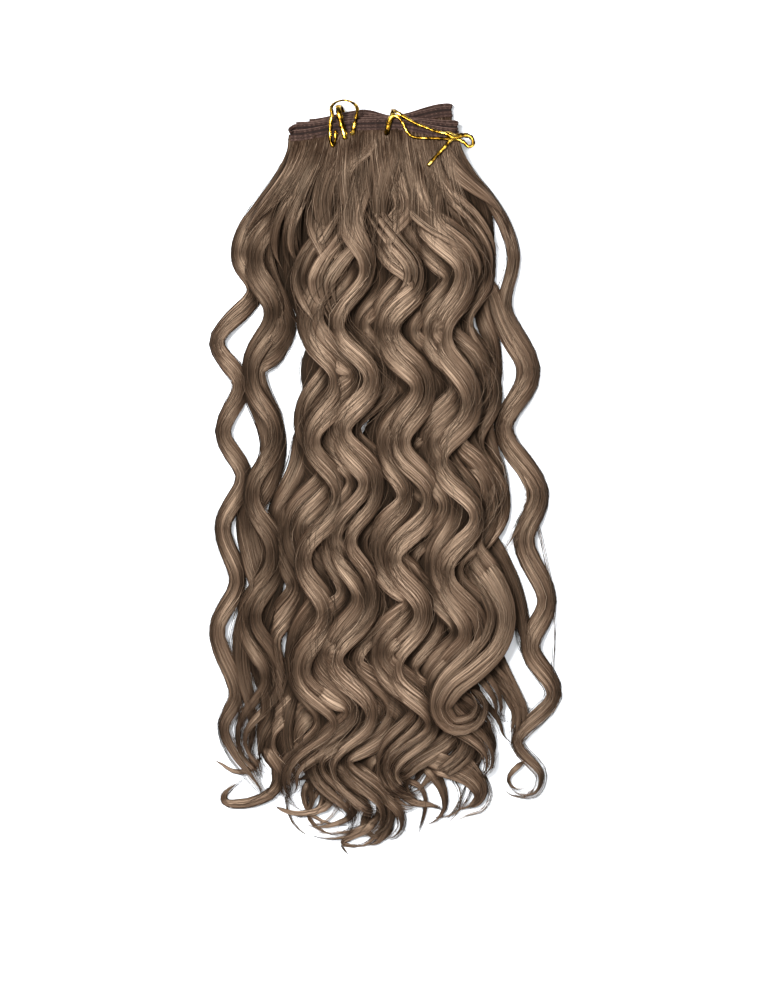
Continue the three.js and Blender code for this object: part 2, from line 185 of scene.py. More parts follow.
def placePiece(name, batch, material, node):
    points = (np.concatenate(batch["points"]) + shift) * mm
    corners = np.concatenate(batch["corners"]).astype(np.int32)
    sizes = np.concatenate(batch["sizes"])
    starts = (np.cumsum(sizes) - sizes).astype(np.int32)
    mesh = bpy.data.meshes.new(name)
    mesh.vertices.add(len(points))
    mesh.vertices.foreach_set("co", points.astype(np.float32).ravel())
    mesh.loops.add(len(corners))
    mesh.loops.foreach_set("vertex_index", corners)
    mesh.polygons.add(len(starts))
    mesh.polygons.foreach_set("loop_start", starts)
    mesh.polygons.foreach_set("use_smooth", np.ones(len(starts), bool))
    uv = np.concatenate(batch["uv"])
    uv[:, 0] /= batch["column"]
    layer = mesh.uv_layers.new(name=bakeMap["name"])
    layer.uv.foreach_set("vector", uv.astype(np.float32).ravel())
    for key in ("tone", "along", "lane"):
        attribute = mesh.attributes.new(key, "FLOAT", "POINT")
        attribute.data.foreach_set("value", np.concatenate(batch[key]).astype(np.float32))
    mesh.update(calc_edges=True)
    mesh.validate()
    mesh.materials.append(material)
    piece = bpy.data.objects.new(name, mesh)
    scene.collection.objects.link(piece)
    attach(piece, "root")
    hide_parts(node)
    triangles = int((sizes - 2).sum())
    print("piece", name, "triangles", triangles)
    return triangles


# materials

def newMaterial(name):
    material = bpy.data.materials.new(name)
    material.use_nodes = True
    return material, material.node_tree, material.node_tree.nodes["Principled BSDF"]


def feed(tree, node, values):           # each socket takes a value or another node's output
    for socket, value in values.items():
        if isinstance(value, bpy.types.NodeSocket):
            tree.links.new(value, node.inputs[socket])
        else:
            node.inputs[socket].default_value = value


def addNode(tree, kind, values):
    node = tree.nodes.new(kind)
    feed(tree, node, values)
    return node


def objectPlace(tree):
    return tree.nodes.new("ShaderNodeTexCoord").outputs["Object"]


def attributeOf(tree, name):
    node = tree.nodes.new("ShaderNodeAttribute")
    node.attribute_name = name
    return node.outputs["Fac"]


def noiseOf(tree, place, scale, detail, roughness=0.5):
    values = {"Vector": place, "Scale": scale, "Detail": detail, "Roughness": roughness}
    return addNode(tree, "ShaderNodeTexNoise", values).outputs["Fac"]


def rangeOf(tree, value, to, source=(0.0, 1.0)):
    values = {"Value": value, "From Min": source[0], "From Max": source[1], "To Min": to[0], "To Max": to[1]}
    return addNode(tree, "ShaderNodeMapRange", values).outputs["Result"]


def sumOf(tree, first, second):
    return addNode(tree, "ShaderNodeMath", {0: first, 1: second}).outputs["Value"]


def bumpOf(tree, height, strength, distance):
    values = {"Height": height, "Strength": strength, "Distance": distance}
    return addNode(tree, "ShaderNodeBump", values).outputs["Normal"]


def rampOf(tree, factor, stops):
    ramp = addNode(tree, "ShaderNodeValToRGB", {"Fac": factor})
    elements = ramp.color_ramp.elements
    while len(elements) < len(stops):
        elements.new(0.5)
    for element, (place, colour) in zip(elements, stops):
        element.position = place
        element.color = (*colour, 1)
    return ramp.outputs["Color"]


fibre = {
    "patchDetail": 3,
    "grainScale": 2600,
    "grainDetail": 2,
    "stretch": (0.95, 0.014, 0),        # across and along the fibres, per mm
    "stripeDetail": 4,
    "stripeRoughness": 0.72,
}


def fibreGroup():                       # tone of each fibre with slow patches laid over it
    group = bpy.data.node_groups.new("fibreTone", "ShaderNodeTree")
    for name in ("Patch Scale", "Patch Share"):
        group.interface.new_socket(name, in_out="INPUT", socket_type="NodeSocketFloat")
    for name in ("Tone", "Grain", "Fibre"):
        group.interface.new_socket(name, in_out="OUTPUT", socket_type="NodeSocketFloat")
    inlet = group.nodes.new("NodeGroupInput").outputs
    outlet = group.nodes.new("NodeGroupOutput")
    tone, lane, along = (attributeOf(group, name) for name in ("tone", "lane", "along"))
    place = objectPlace(group)
    patch = noiseOf(group, place, inlet["Patch Scale"], fibre["patchDetail"])
    blend = addNode(group, "ShaderNodeMix", {0: inlet["Patch Share"], 2: tone, 3: patch})
    ways = addNode(group, "ShaderNodeCombineXYZ", {"X": lane, "Y": along})
    stretched = addNode(group, "ShaderNodeVectorMath", {0: ways.outputs["Vector"], 1: fibre["stretch"]})
    stretched.operation = "MULTIPLY"
    stripePlace = stretched.outputs["Vector"]
    feed(group, outlet, {
        "Tone": blend.outputs[0],
        "Grain": noiseOf(group, place, fibre["grainScale"], fibre["grainDetail"]),
        "Fibre": noiseOf(group, stripePlace, 1.0, fibre["stripeDetail"], fibre["stripeRoughness"]),
    })
    return group


fibreTone = fibreGroup()


def addFibreTone(tree, patchScale, patchShare):
    node = tree.nodes.new("ShaderNodeGroup")
    node.node_tree = fibreTone
    feed(tree, node, {"Patch Scale": patchScale, "Patch Share": patchShare})
    return node.outputs


hairLook = {
    "patchScale": 22.0,
    "patchShare": 0.2,
    "colours": [
        (0.0, (0.0016, 0.0005, 0.0002)),
        (0.30, (0.0052, 0.0018, 0.0006)),
        (0.60, (0.0300, 0.0163, 0.0096)),
        (0.80, (0.0720, 0.0445, 0.0290)),
        (1.0, (0.2200, 0.1560, 0.1100)),
    ],
    "stripes": (0.3, 0.7),
    "streaks": (-0.37, 0.36),           # what the stripes add to the tone
    "reliefStrength": 0.75,
    "reliefDistance": 0.0005,
    "creaseTones": (0.25, 0.60),        # creases have no sheen
    "roughness": (0.95, 0.42),
    "unevenness": (-0.08, 0.08),
    "specular": 0.36,
    "specularTint": (0.86, 0.65, 0.46, 1),
    "refraction": 1.5,
}


def hairMaterial():
    material, tree, shader = newMaterial("ashBrownHair")
    tint = addFibreTone(tree, hairLook["patchScale"], hairLook["patchShare"])
    streak = rangeOf(tree, tint["Fibre"], hairLook["streaks"], hairLook["stripes"])
    dull = rangeOf(tree, tint["Tone"], hairLook["roughness"], hairLook["creaseTones"])
    uneven = rangeOf(tree, tint["Grain"], hairLook["unevenness"])
    feed(tree, shader, {
        "Base Color": rampOf(tree, sumOf(tree, tint["Tone"], streak), hairLook["colours"]),
        "Roughness": sumOf(tree, dull, uneven),
        "Normal": bumpOf(tree, tint["Fibre"], hairLook["reliefStrength"], hairLook["reliefDistance"]),
        "Specular IOR Level": hairLook["specular"],
        "Specular Tint": hairLook["specularTint"],
        "IOR": hairLook["refraction"],
    })
    return material


bandLook = {
    "patchScale": 140.0,
    "patchShare": 0.2,
    "colours": [
        (0.0, (0.0024, 0.0010, 0.0007)),
        (0.5, (0.0205, 0.0104, 0.0078)),
        (1.0, (0.1000, 0.0620, 0.0490)),
    ],
    "grainStrength": 0.4,
    "grainDistance": 0.0002,
    "roughness": 0.65,
    "specular": 0.06,
}


def bandMaterial():
    material, tree, shader = newMaterial("sewnBand")
    tint = addFibreTone(tree, bandLook["patchScale"], bandLook["patchShare"])
    feed(tree, shader, {
        "Base Color": rampOf(tree, tint["Tone"], bandLook["colours"]),
        "Normal": bumpOf(tree, tint["Grain"], bandLook["grainStrength"], bandLook["grainDistance"]),
        "Roughness": bandLook["roughness"],
        "Specular IOR Level": bandLook["specular"],
    })
    return material


foilLook = {
    "creaseScale": 230,
    "creaseDetail": 3,
    # painted reflection: the crinkles run from near black to pale gold, dark reflections and glints
    "colours": [
        (0.38, (0.020, 0.010, 0.001)),
        (0.47, (0.130, 0.065, 0.006)),
        (0.56, (0.400, 0.230, 0.025)),
        (0.68, (0.800, 0.560, 0.130)),
    ],
    "roughness": (0.16, 0.30),
    "creaseStrength": 0.35,
    "creaseDistance": 0.0004,
}


def foilMaterial():
    material, tree, shader = newMaterial("goldFoil")
    # the crinkle noise bumps the foil and paints its reflections and glints into the colour
    creaseAndGlint = noiseOf(tree, objectPlace(tree), foilLook["creaseScale"], foilLook["creaseDetail"])
    feed(tree, shader, {
        "Base Color": rampOf(tree, creaseAndGlint, foilLook["colours"]),
        "Roughness": rangeOf(tree, creaseAndGlint, foilLook["roughness"]),
        "Normal": bumpOf(tree, creaseAndGlint, foilLook["creaseStrength"], foilLook["creaseDistance"]),
        "Metallic": 1.0,
    })
    return material


ashHair = hairMaterial()
sewnBand = bandMaterial()
goldFoil = foilMaterial()
print("materials made")


# the locks: where each one runs, how it waves and how its tip curls, in millimetres and degrees
hair = {
    "lockBase": 4.2,
    "lockRise": 5.0,      # for each level in the pile
    "lockLift": 0.6,      # one slope of a wave lies over the other
    "archLift": 0.6,      # and both arch up between the crests
    "thickest": 8.5,
    "crestRound": 0.04,
    "spreadDrop": 100.0,
    "sideSpread": 85.0,   # the outer locks fan out sooner
    "rootStart": 2.6,     # the hair leaves the strip near its lower edge
    "rootInset": 0.2,
    "rootRise": 1.2,
    "rootDrop": 14.0,
    "waveFrom": 6.0,
    "waveDrop": 100.0,
    "fullFrom": 8.0,
    "fullDrop": 45.0,
    "sinkDrop": 70.0,     # from the band's front to the level in the pile
    "topDrop": 150.0,     # above this the locks stray from their line
    "settleFrom": 340.0,
    "settleDrop": 110.0,
    "tipSwing": 1.4,
    "tipLevel": 0.55,
    "curlHeight": 2.9,
    "flatness": 0.36,
    "rootWidth": 0.85,
    "tipWidth": 0.34,
    "pointFrom": 0.84,
    "pointWidth": 0.12,
    "taperFrom": 0.80,
    "taperShare": 0.30,
    "rootThickness": 0.7,
    "bendRoom": 1.9,      # width over the radius of the bend
    "bendEven": 13,
    "partRoom": 0.5,      # and how far its parts lie from the middle
    "crestRoll": 24.0,
    "sideRoll": 26.0,
    "wanderWave": 36.0,
    "phaseDrift": 0.24,   # some waves come early or late
    "phaseWave": 47.0,
    "swingDrift": 0.16,   # and some swing out further
    "swingWave": 33.0,
    "breathWave": 27.0,   # wider and narrower on its way
    "tipFrom": 384.0,     # the loose ends start here
    "endSink": 12.0,
    "endRise": 0.25,
    "lineSteps": 260,
    "curlSteps": 60,
}
lockColumns = ("root", "body", "tip", "end", "crest", "wave", "swing", "width", "level", "turn", "radius")
leftRows = [
    (-55, -84, -90, 444, 85, 85, 9, 13, 0.8, -60, 14),
]
rightRows = [
    (36, 60, 70, 404, 57, 77, 8, 15, 1.2, 60, 14),
    (40, 61, 78, 392, 60, 80, 9, 12, 0.8, 70, 14),
    (42, 60, 80, 398, 54, 77.5, 9, 12, 0.5, 80, 12),
]
middleRows = [
    (-37, -45, -55, 452, 114, 84, 10, 22, 1.5, 85, 22),
    (-24, -27, -37, 470, 52, 78, 11, 26, 2.3, -110, 17),
    (-12, -11, -14, 478, 58, 77, 11, 22, 1.6, -120, 15),
    (-1, 8, 10, 456, 64, 76, 11, 22, 2.5, 80, 24),
    (11, 22, 29, 446, 66, 78, 12, 22, 1.7, -80, 12),
    (21, 38, 44, 446, 58, 82, 11, 22, 2.4, 60, 12),
    (30, 52, 60, 412, 48, 85, 13, 24, 1.5, -110, 18),
]
underRows = [
    (-46, -37, -50, 440, 84, 82, 9, 22, 0.2, 60, 16),
    (-34, -36, -46, 452, 66, 80, 10, 22, 0.4, -70, 15),
    (-22, -22, -28, 462, 60, 78, 10, 22, 0.5, 90, 14),
    (-10, -8, -10, 468, 90, 77, 10, 22, 0.3, 90, 14),
    (-4, 2, 2, 470, 68, 77, 10, 22, 0.4, -90, 15),
    (4, 15, 19, 462, 72, 77, 10, 22, 0.5, 100, 14),
    (14, 28, 34, 448, 98, 80, 10, 22, 0.3, -80, 14),
    (22, 40, 50, 440, 62, 83, 11, 22, 0.4, 70, 14),
    (32, 54, 66, 430, 58, 84, 10, 20, 0.3, -90, 14),
    (40, 58, 72, 420, 60, 80, 8, 14, 0.2, 80, 14),
]
backRows = [     # a loose mat under the locks, darker with painted shade where it shows between them
    (-26, -30, -34, 404, 60, 80, 6, 40, -0.35, 40, 20),
    (0, 4, 4, 410, 66, 80, 6, 40, -0.35, -40, 20),
    (22, 34, 40, 400, 60, 80, 6, 38, -0.35, 40, 20),
]
frontRows = [    # narrower locks that lie over the others
    (-31, -41, -50, 456, 56, 80, 11, 14, 2.7, -60, 13),
    (-18, -20, -25, 472, 55, 78, 11, 15, 3.1, 80, 14),
    (5, 15, 19, 458, 66, 77, 12, 15, 3.2, 60, 12),
    (26, 46, 55, 444, 60, 84, 12, 15, 3.0, -80, 14),
]
endRows = [
    (-66, -66, -70, 446, 92, 84, 10, 17, 0.4, -110, 14),
    (-50, -48, -52, 462, 96, 82, 10, 19, 0.7, 110, 15),
    (-36, -35, -40, 466, 62, 80, 10, 19, 0.5, -90, 14),
    (-20, -22, -26, 474, 54, 78, 10, 19, 0.6, -80, 16),
    (0, 0, -2, 484, 62, 77, 10, 19, 0.6, -130, 12),
    (10, 12, 14, 470, 70, 77, 10, 18, 0.4, 90, 13),
    (20, 22, 24, 460, 66, 78, 10, 19, 0.7, 100, 16),
    (36, 38, 38, 456, 58, 81, 11, 19, 0.5, -90, 15),
    (46, 48, 46, 446, 52, 84, 11, 19, 0.7, -100, 16),
    (60, 62, 62, 406, 58, 82, 9, 17, 0.4, -80, 14),
]


def lockHeight(lock, drop):
    pile = hair["lockBase"] + hair["lockRise"] * lock["level"]
    tipPile = hair["lockBase"] + hair["tipLevel"] * hair["lockRise"] * lock["level"]
    top = bandDrop(lock["layer"], lock["root"]) + hair["rootStart"]
    root = layerZ(lock["layer"]) - hair["rootInset"]
    root = root + hair["rootRise"] * smooth((drop - top) / hair["rootDrop"])
    body = mix(root, pile, smooth((drop - hair["fullFrom"]) / hair["sinkDrop"]))
    return mix(body, tipPile, smooth((drop - hair["settleFrom"]) / hair["settleDrop"]))


def lockLine(lock, start):
    drop = np.linspace(start, lock["end"], hair["lineSteps"])
    below = smooth(drop / hair["topDrop"])
    lean = np.maximum(0, (drop - lock["spread"]) / (lock["end"] - lock["spread"]))
    axis = mix(lock["root"], lock["body"], smooth(drop / lock["spread"]))
    axis = axis + (lock["tip"] - lock["body"]) * lean
    axis = axis + lock["sway"] * np.sin(math.pi * smooth((drop - start) / hair["topDrop"]))
    axis = axis + lock["wander"] * np.sin(drop / hair["wanderWave"] + lock["wanderFrom"]) * below
    phase = 2 * math.pi * (drop - lock["crest"] - lock["topShift"] * (1 - below)) / lock["wave"]
    drift = np.sin(drop / hair["phaseWave"] + 2 * lock["wanderFrom"])
    phase = phase + lock["uneven"] * hair["phaseDrift"] * drift
    grown = smooth((drop - hair["waveFrom"]) / hair["waveDrop"])
    settled = smooth((drop - hair["settleFrom"]) / hair["settleDrop"])
    swing = lock["swing"] * grown * mix(1, hair["tipSwing"], settled)
    drift = np.sin(drop / hair["swingWave"] + 3 * lock["wanderFrom"])
    swing = swing * (1 + lock["uneven"] * hair["swingDrift"] * drift)
    x = axis - swing * (np.cos(phase) - hair["crestRound"] * np.cos(3 * phase))
    lift = lock["lift"] * np.sin(phase) - hair["archLift"] * np.cos(2 * phase)
    roll = math.radians(lock["roll"]) * grown * np.cos(phase)
    line = np.stack([x, band["lineY"] - drop, lockHeight(lock, drop) + grown * lift], axis=1)
    heading = unit(line[-1, :2] - line[-2, :2])
    left = np.array([-heading[1], heading[0]])
    turn = math.radians(lock["turn"])
    angle = np.linspace(0, abs(turn), hair["curlSteps"] + 1)[1:, None]
    bow = np.sin(angle) * heading + np.sign(turn) * (1 - np.cos(angle)) * left
    curl = line[-1, :2] + lock["radius"] * bow
    share = smooth(angle / abs(turn))
    curlZ = mix(line[-1, 2], hair["curlHeight"], share)
    line = np.concatenate([line, np.concatenate([curl, curlZ], axis=1)])
    roll = np.concatenate([roll, roll[-1] * (1 - share[:, 0])])
    drop = np.concatenate([drop, lock["end"] + lock["radius"] * angle[:, 0]])
    return line, roll, drop


def bendRadius(line):
    step = np.gradient(line[:, :2], axis=0)
    heading = np.unwrap(np.arctan2(step[:, 1], step[:, 0]))
    turn = np.abs(np.gradient(heading)) / np.maximum(np.linalg.norm(step, axis=1), 1e-6)
    return 1 / np.maximum(evened(turn, hair["bendEven"]), 1e-4)


def within(value, room):                # eases off towards the room there is
    return room * np.tanh(value / room)


def stepLengths(line):
    return np.linalg.norm(np.diff(line, axis=0), axis=1)


def wayAlong(line):
    return np.concatenate([[0], np.cumsum(stepLengths(line))])


def runOf(line, roll, width, thick):    # a ribbon that doesn't fold over inside its bends
    width = within(width, hair["bendRoom"] * bendRadius(line))
    along = unit(np.gradient(line, axis=0))
    level = unit(np.stack([-along[:, 1], along[:, 0], np.zeros(len(along))], axis=1))
    upright = np.cross(along, level)
    turn = roll[:, None]
    across = level * np.cos(turn) + upright * np.sin(turn)
    return {
        "centre": line,
        "roll": roll,
        "slant": np.abs(along[:, :1]),
        "across": across,
        "up": np.cross(along, across),
        "width": width[:, None],
        "thick": thick[:, None],
        "length": stepLengths(line).sum(),
    }


def pointed(share):                     # the last bit of a lock narrows to a point
    return mix(1, hair["pointWidth"], late(share, hair["pointFrom"]))


def lockRun(lock, start):
    line, roll, drop = lockLine(lock, start)
    full = smooth((drop - hair["fullFrom"]) / hair["fullDrop"])
    tapered = smooth((drop - hair["taperFrom"] * lock["end"]) / (hair["taperShare"] * lock["end"]))
    taper = mix(1, hair["tipWidth"], tapered)
    breath = 1 + lock["breath"] * np.sin(drop / hair["breathWave"] + lock["wanderFrom"])
    width = lock["width"] * mix(hair["rootWidth"], 1, full) * taper * breath
    thick = np.minimum(lock["width"] * hair["flatness"] * taper, hair["thickest"])
    thick = mix(hair["rootThickness"], thick, full)
    share = np.linspace(0, 1, len(line))
    point = pointed(share)
    if start > hair["topDrop"]:         # loose ends come up from below the locks
        rise = smooth(share / hair["endRise"])
        point = point * mix(hair["pointWidth"], 1, rise)
        line[:, 2] -= hair["endSink"] * (1 - rise)
    return runOf(line, roll, width * point, thick * point)


def pick(values, share):
    place = share * (len(values) - 1)
    low = np.minimum(place.astype(int), len(values) - 2)
    part = (place - low)[..., None]
    return values[low] * (1 - part) + values[low + 1] * part


def picked(run, share, *names):
    return (pick(run[name], share) for name in names)


strand = {
    "radius": 0.21,
    "sides": 3,
    "stepLength": 6.8,    # between rings
    "fewestSteps": 8,
    "fewest": 6,
    "shortest": 0.86,
    "ovalSteps": 721,
    "underSide": 2.4,     # spacing on the hidden side over that on the top
    "jitter": 0.4,
    "clumpWidth": 7.0,    # fibres cling together this wide
    "clumpJitter": 0.3,
    "pull": 0.20,         # towards the middle of the clump
    "pullWave": 33.0,
    "wander": 0.10,
    "wanderWave": 24.0,
    "swell": 0.03,
    "swellWave": 19.0,
    "astray": 0.4,        # how far a fibre leaves its place
    "astrayWave": (13, 30),
    "astrayDrop": 40.0,
    "looseShare": 0.2,    # some fibres wander off the ribbon
    "looseReach": 4.5,
    "fan": (0.3, 1.8),    # the tips spread or close up
    "fanFrom": 0.82,
    "depth": (0.94, 1.04),
    "girth": (0.75, 1.2),
    "tipGirth": 0.3,
    "thinFrom": 0.7,
    "floorGap": 0.15,
    "toneSpread": 0.13,
    "clumpTone": 0.06,
    "facingShade": 0.42,       # painted shade: sides and creases are darker than what faces up
    "slant": 0.45,        # painted highlight on the slopes and painted shade in the turns
    "midSlant": 0.36,
    "lanes": 900,         # room for every fibre to have stripes of its own
}


def anyTurn(size):
    return rng.uniform(0, 2 * math.pi, size)


def someStart(size=None):               # where a slow bend starts
    return rng.uniform(0, 6, size)


def someLane(size=None):
    return rng.uniform(0, strand["lanes"], size)


# painted light in the tone: shade where the hair faces sideways or turns, highlight on its slopes
def paintedLightTone(tone, outward, slant):
    aside = 1 - np.clip(outward, 0, 1)
    return tone - strand["facingShade"] * aside + strand["slant"] * (slant - strand["midSlant"])


def ovalPlaces(wide, tall, spacing):    # angles round a ribbon, over its top and then its hidden side
    angle = np.linspace(-math.pi / 6, 11 * math.pi / 6, strand["ovalSteps"])
    middle = (angle[1:] + angle[:-1]) / 2
    reach = np.hypot(wide / 2 * np.sin(middle), tall / 2 * np.cos(middle)) * (angle[1] - angle[0])
    reach[middle > 7 * math.pi / 6] /= strand["underSide"]
    way = np.concatenate([[0], np.cumsum(reach)])
    count = max(strand["fewest"], int(way[-1] / spacing))
    jitter = rng.uniform(-strand["jitter"], strand["jitter"], count)
    place = (np.arange(count) + 0.5 + jitter) / count * way[-1]
    return np.interp(place, way, angle)[:, None], way[-1]


def astrayOf(way):
    each = (len(way), 1)
    size = rng.uniform(-strand["astray"], strand["astray"], each)
    wave = rng.uniform(*strand["astrayWave"], each)
    return size * smooth(way / strand["astrayDrop"]) * np.sin(way / wave + someStart(each))


def addStrands(batch, run, tone, spacing, shortest=strand["shortest"]):
    angle, rim = ovalPlaces(run["width"].max(), run["thick"].max(), spacing)
    count = len(angle)
    each = (count, 1)
    steps = max(strand["fewestSteps"], int(run["length"] / strand["stepLength"]))
    reach = rng.uniform(shortest, 1.0, each)
    share = np.linspace(0, 1, steps)[None] * reach
    centre, across, up = picked(run, share, "centre", "across", "up")
    width, thick, slant = (values[..., 0] for values in picked(run, share, "width", "thick", "slant"))
    way = share * run["length"]

    clumps = max(2, int(rim / strand["clumpWidth"]))
    jitter = rng.uniform(-strand["clumpJitter"], strand["clumpJitter"], count)
    clump = (np.arange(count) * clumps / count + jitter).astype(int).clip(0)
    clump = np.minimum(clump, clumps - 1)
    clumpMiddle = [angle[clump == c].mean() if (clump == c).any() else 0 for c in range(clumps)]
    middleOf = np.array(clumpMiddle)[clump][:, None]
    slow = [anyTurn(clumps)[clump][:, None] for _ in range(3)]
    pull = strand["pull"] + strand["pull"] * np.sin(way / strand["pullWave"] + slow[0])
    wander = strand["wander"] * np.sin(way / strand["wanderWave"] + slow[1])
    swell = strand["swell"] * np.sin(way / strand["swellWave"] + slow[2])
    turn = angle + pull * (middleOf - angle) + wander
    astray = [astrayOf(way) for _ in range(2)]
    loose = rng.uniform(0, 1, each) < strand["looseShare"]
    aside, above = (part * np.where(loose, strand["looseReach"], 1) for part in astray)
    fan = mix(1, rng.uniform(*strand["fan"], each), late(share, strand["fanFrom"]))
    deep = rng.uniform(*strand["depth"], each) + swell
    sideways = width / 2 * np.cos(turn) * deep * fan + aside
    upwards = thick / 2 * np.sin(turn) * deep + above
    middle = centre + across * sideways[..., None] + up * upwards[..., None]
    thinned = mix(1, strand["tipGirth"], late(share / reach, strand["thinFrom"]))
    girth = strand["radius"] * rng.uniform(*strand["girth"], each) * thinned
    middle[..., 2] = np.maximum(middle[..., 2], girth + strand["floorGap"])
    spin = (anyTurn(each) + around(strand["sides"])[None])[:, None, :, None]
    ring = across[:, :, None] * np.cos(spin) + up[:, :, None] * np.sin(spin)
    rings = middle[:, :, None] + girth[:, :, None, None] * ring
    ownTone = tone + rng.normal(0, strand["toneSpread"], count)
    ownTone = ownTone + rng.normal(0, strand["clumpTone"], clumps)[clump]
    # painted shade and highlight by which way each fibre faces and runs
    outward = across * (np.cos(turn) * thick)[..., None] + up * (np.sin(turn) * width)[..., None]
    ownTone = paintedLightTone(ownTone[:, None], unit(outward)[..., 2], slant)
    lane = someLane((count, 1, 1)) + girth[:, :, None] * np.arange(strand["sides"])
    addTubes(batch, rings, np.clip(ownTone, 0, 1)[:, :, None], way[:, :, None], lane)


core = {
    "sides": 18,
    "fewSides": 12,
    "fewestSteps": 6,
    "stepLength": 4.6,
    "share": 0.97,        # of the ribbon's width and thickness
    "reach": 0.94,        # of its length
    "narrowFrom": 0.7,
    "narrowest": 0.04,
    "tone": -0.03,
    "floorGap": 0.3,
    "furrow": 0.035,
    # painted shade in the furrows and painted light on the ridges
    "furrowShade": 0.03,
    "furrows": ((1.0, 3, 29), (0.8, 7, -37), (0.6, 11, 53)),     # how deep, how many and how long
    "mapSteps": 3,        # from ring to ring, close enough together for the height map
}


def addCore(batch, run, tone, reach=core["reach"], sides=core["sides"]):
    steps = max(core["fewestSteps"], int(run["length"] / core["stepLength"]))
    share = np.linspace(0, reach, steps)[None]
    names = ("centre", "across", "up", "width", "thick", "slant")
    centre, across, up, width, thick, slant = (values[:, :, None] for values in picked(run, share, *names))
    angle = (around(sides) - math.pi / 2)[None, None, :, None]
    way = (share * run["length"])[:, :, None, None]
    slow = anyTurn(len(core["furrows"]))
    furrow = sum(deep * np.sin(count * angle + way / wave + start)
                 for (deep, count, wave), start in zip(core["furrows"], slow))
    narrow = mix(1, core["narrowest"], late(share / reach, core["narrowFrom"]))[:, :, None, None]
    narrow = core["share"] * narrow * (1 + core["furrow"] * furrow)
    rings = centre + narrow / 2 * (across * width * np.cos(angle) + up * thick * np.sin(angle))
    rings[..., 2] = np.maximum(rings[..., 2], core["floorGap"])
    # painted shade and highlight by which way the surface faces and runs
    outward = unit(across * thick * np.cos(angle) + up * width * np.sin(angle))[..., 2]
    coreTone = tone + core["tone"] + core["furrowShade"] * furrow[..., 0]
    coreTone = paintedLightTone(coreTone, outward, slant[..., 0])
    lane = someLane() + run["width"].max() / 2 * (angle[..., 0] + math.pi / 2)
    addTubes(batch, rings, np.clip(coreTone, 0, 1), way[..., 0], lane)
    between = np.arange(core["mapSteps"]).reshape(-1, 1, 1, 1, 1) / core["mapSteps"]
    batch["tops"].append(mix(rings[:, :-1], rings[:, 1:], between).reshape(-1, 3))


split = {
    "wide": 1.55,
    "thin": 0.38,
    "drift": 0.5,
    "driftWave": (36, 60),
    "rise": 0.45,
    "riseWave": (30, 50),
    "from": 20.0,
    "drop": 60.0,
}


def partsOf(run, parts):                # a lock is a few ribbons that part and close up on their way
    way = np.linspace(0, run["length"], len(run["centre"]))[:, None]
    loose = smooth((way - split["from"]) / split["drop"])
    room = hair["partRoom"] * bendRadius(run["centre"])[:, None]
    for part in range(parts):
        slow = anyTurn(3)
        place = (part - (parts - 1) / 2) / parts
        drift = np.sin(way / rng.uniform(*split["driftWave"]) + slow[0])
        place = place + split["drift"] / parts * drift * loose
        rise = split["rise"] * np.sin(way / rng.uniform(*split["riseWave"]) + slow[1]) * loose
        line = run["centre"] + run["across"] * within(run["width"] * place, room) + run["up"] * rise
        width = run["width"][:, 0] * split["wide"] / parts
        yield runOf(line, run["roll"], width, run["thick"][:, 0] * split["thin"])


def ribbonsOf(run, parts):
    return partsOf(run, parts) if parts > 1 else [run]


lockChance = {            # how much one lock differs from the next
    "sway": 4.0,
    "topShift": 7.0,
    "wander": (1.0, 3.0),
    "breath": (0.08, 0.22),
    "tone": 0.04,
    "ribbonTone": 0.03,
}


def addLocks(batch, rows, layer, loose, tone, spacing, start, parts):
    for lock in named(lockColumns, rows):
        lock |= {
            "layer": layer,
            "spread": hair["spreadDrop"] if loose else hair["sideSpread"],
            "roll": hair["crestRoll"] if loose else hair["sideRoll"],
            "lift": hair["lockLift"],
            "uneven": loose,
            "sway": loose * rng.normal(0, lockChance["sway"]),
            "topShift": loose * rng.normal(0, lockChance["topShift"]),
            "wander": loose * rng.uniform(*lockChance["wander"]),
            "wanderFrom": someStart(),
            "breath": loose * rng.uniform(*lockChance["breath"]),
        }
        top = float(bandDrop(layer, lock["root"])) + hair["rootStart"]
        run = lockRun(lock, top if start is None else start)
        lockTone = tone + rng.normal(0, lockChance["tone"])
        for ribbon in ribbonsOf(run, parts):
            ribbonTone = lockTone + rng.normal(0, lockChance["ribbonTone"])
            addCore(batch, ribbon, ribbonTone, sides=core["sides"] if parts > 1 else core["fewSides"])
            addStrands(batch, ribbon, ribbonTone, spacing)


hairPieces = {}
for name, rows, layer, loose, tone, spacing, start, parts in (
    # the hair under the locks has a darker tone: painted shade for deep hair
    ("hair_under_locks", backRows + underRows, 1, 1, 0.50, 9.0, None, 1),
    ("hair_left_locks", leftRows, frontLayer, 0, 0.63, 1.1, None, 2),
    ("hair_right_locks", rightRows, frontLayer, 0, 0.63, 1.15, None, 2),
    ("hair_middle_left", middleRows[:3], frontLayer, 1, 0.63, 1.1, None, 3),
    ("hair_middle_right", middleRows[3:], frontLayer, 1, 0.63, 1.1, None, 3),
    ("hair_front_locks", frontRows, frontLayer, 1, 0.64, 1.1, None, 2),
    ("hair_loose_ends", endRows, frontLayer, 0, 0.60, 1.0, hair["tipFrom"], 2),
):
    hairPieces[name] = newBatch()
    addLocks(hairPieces[name], rows, layer, loose, tone, spacing, start, parts)
print("locks laid")


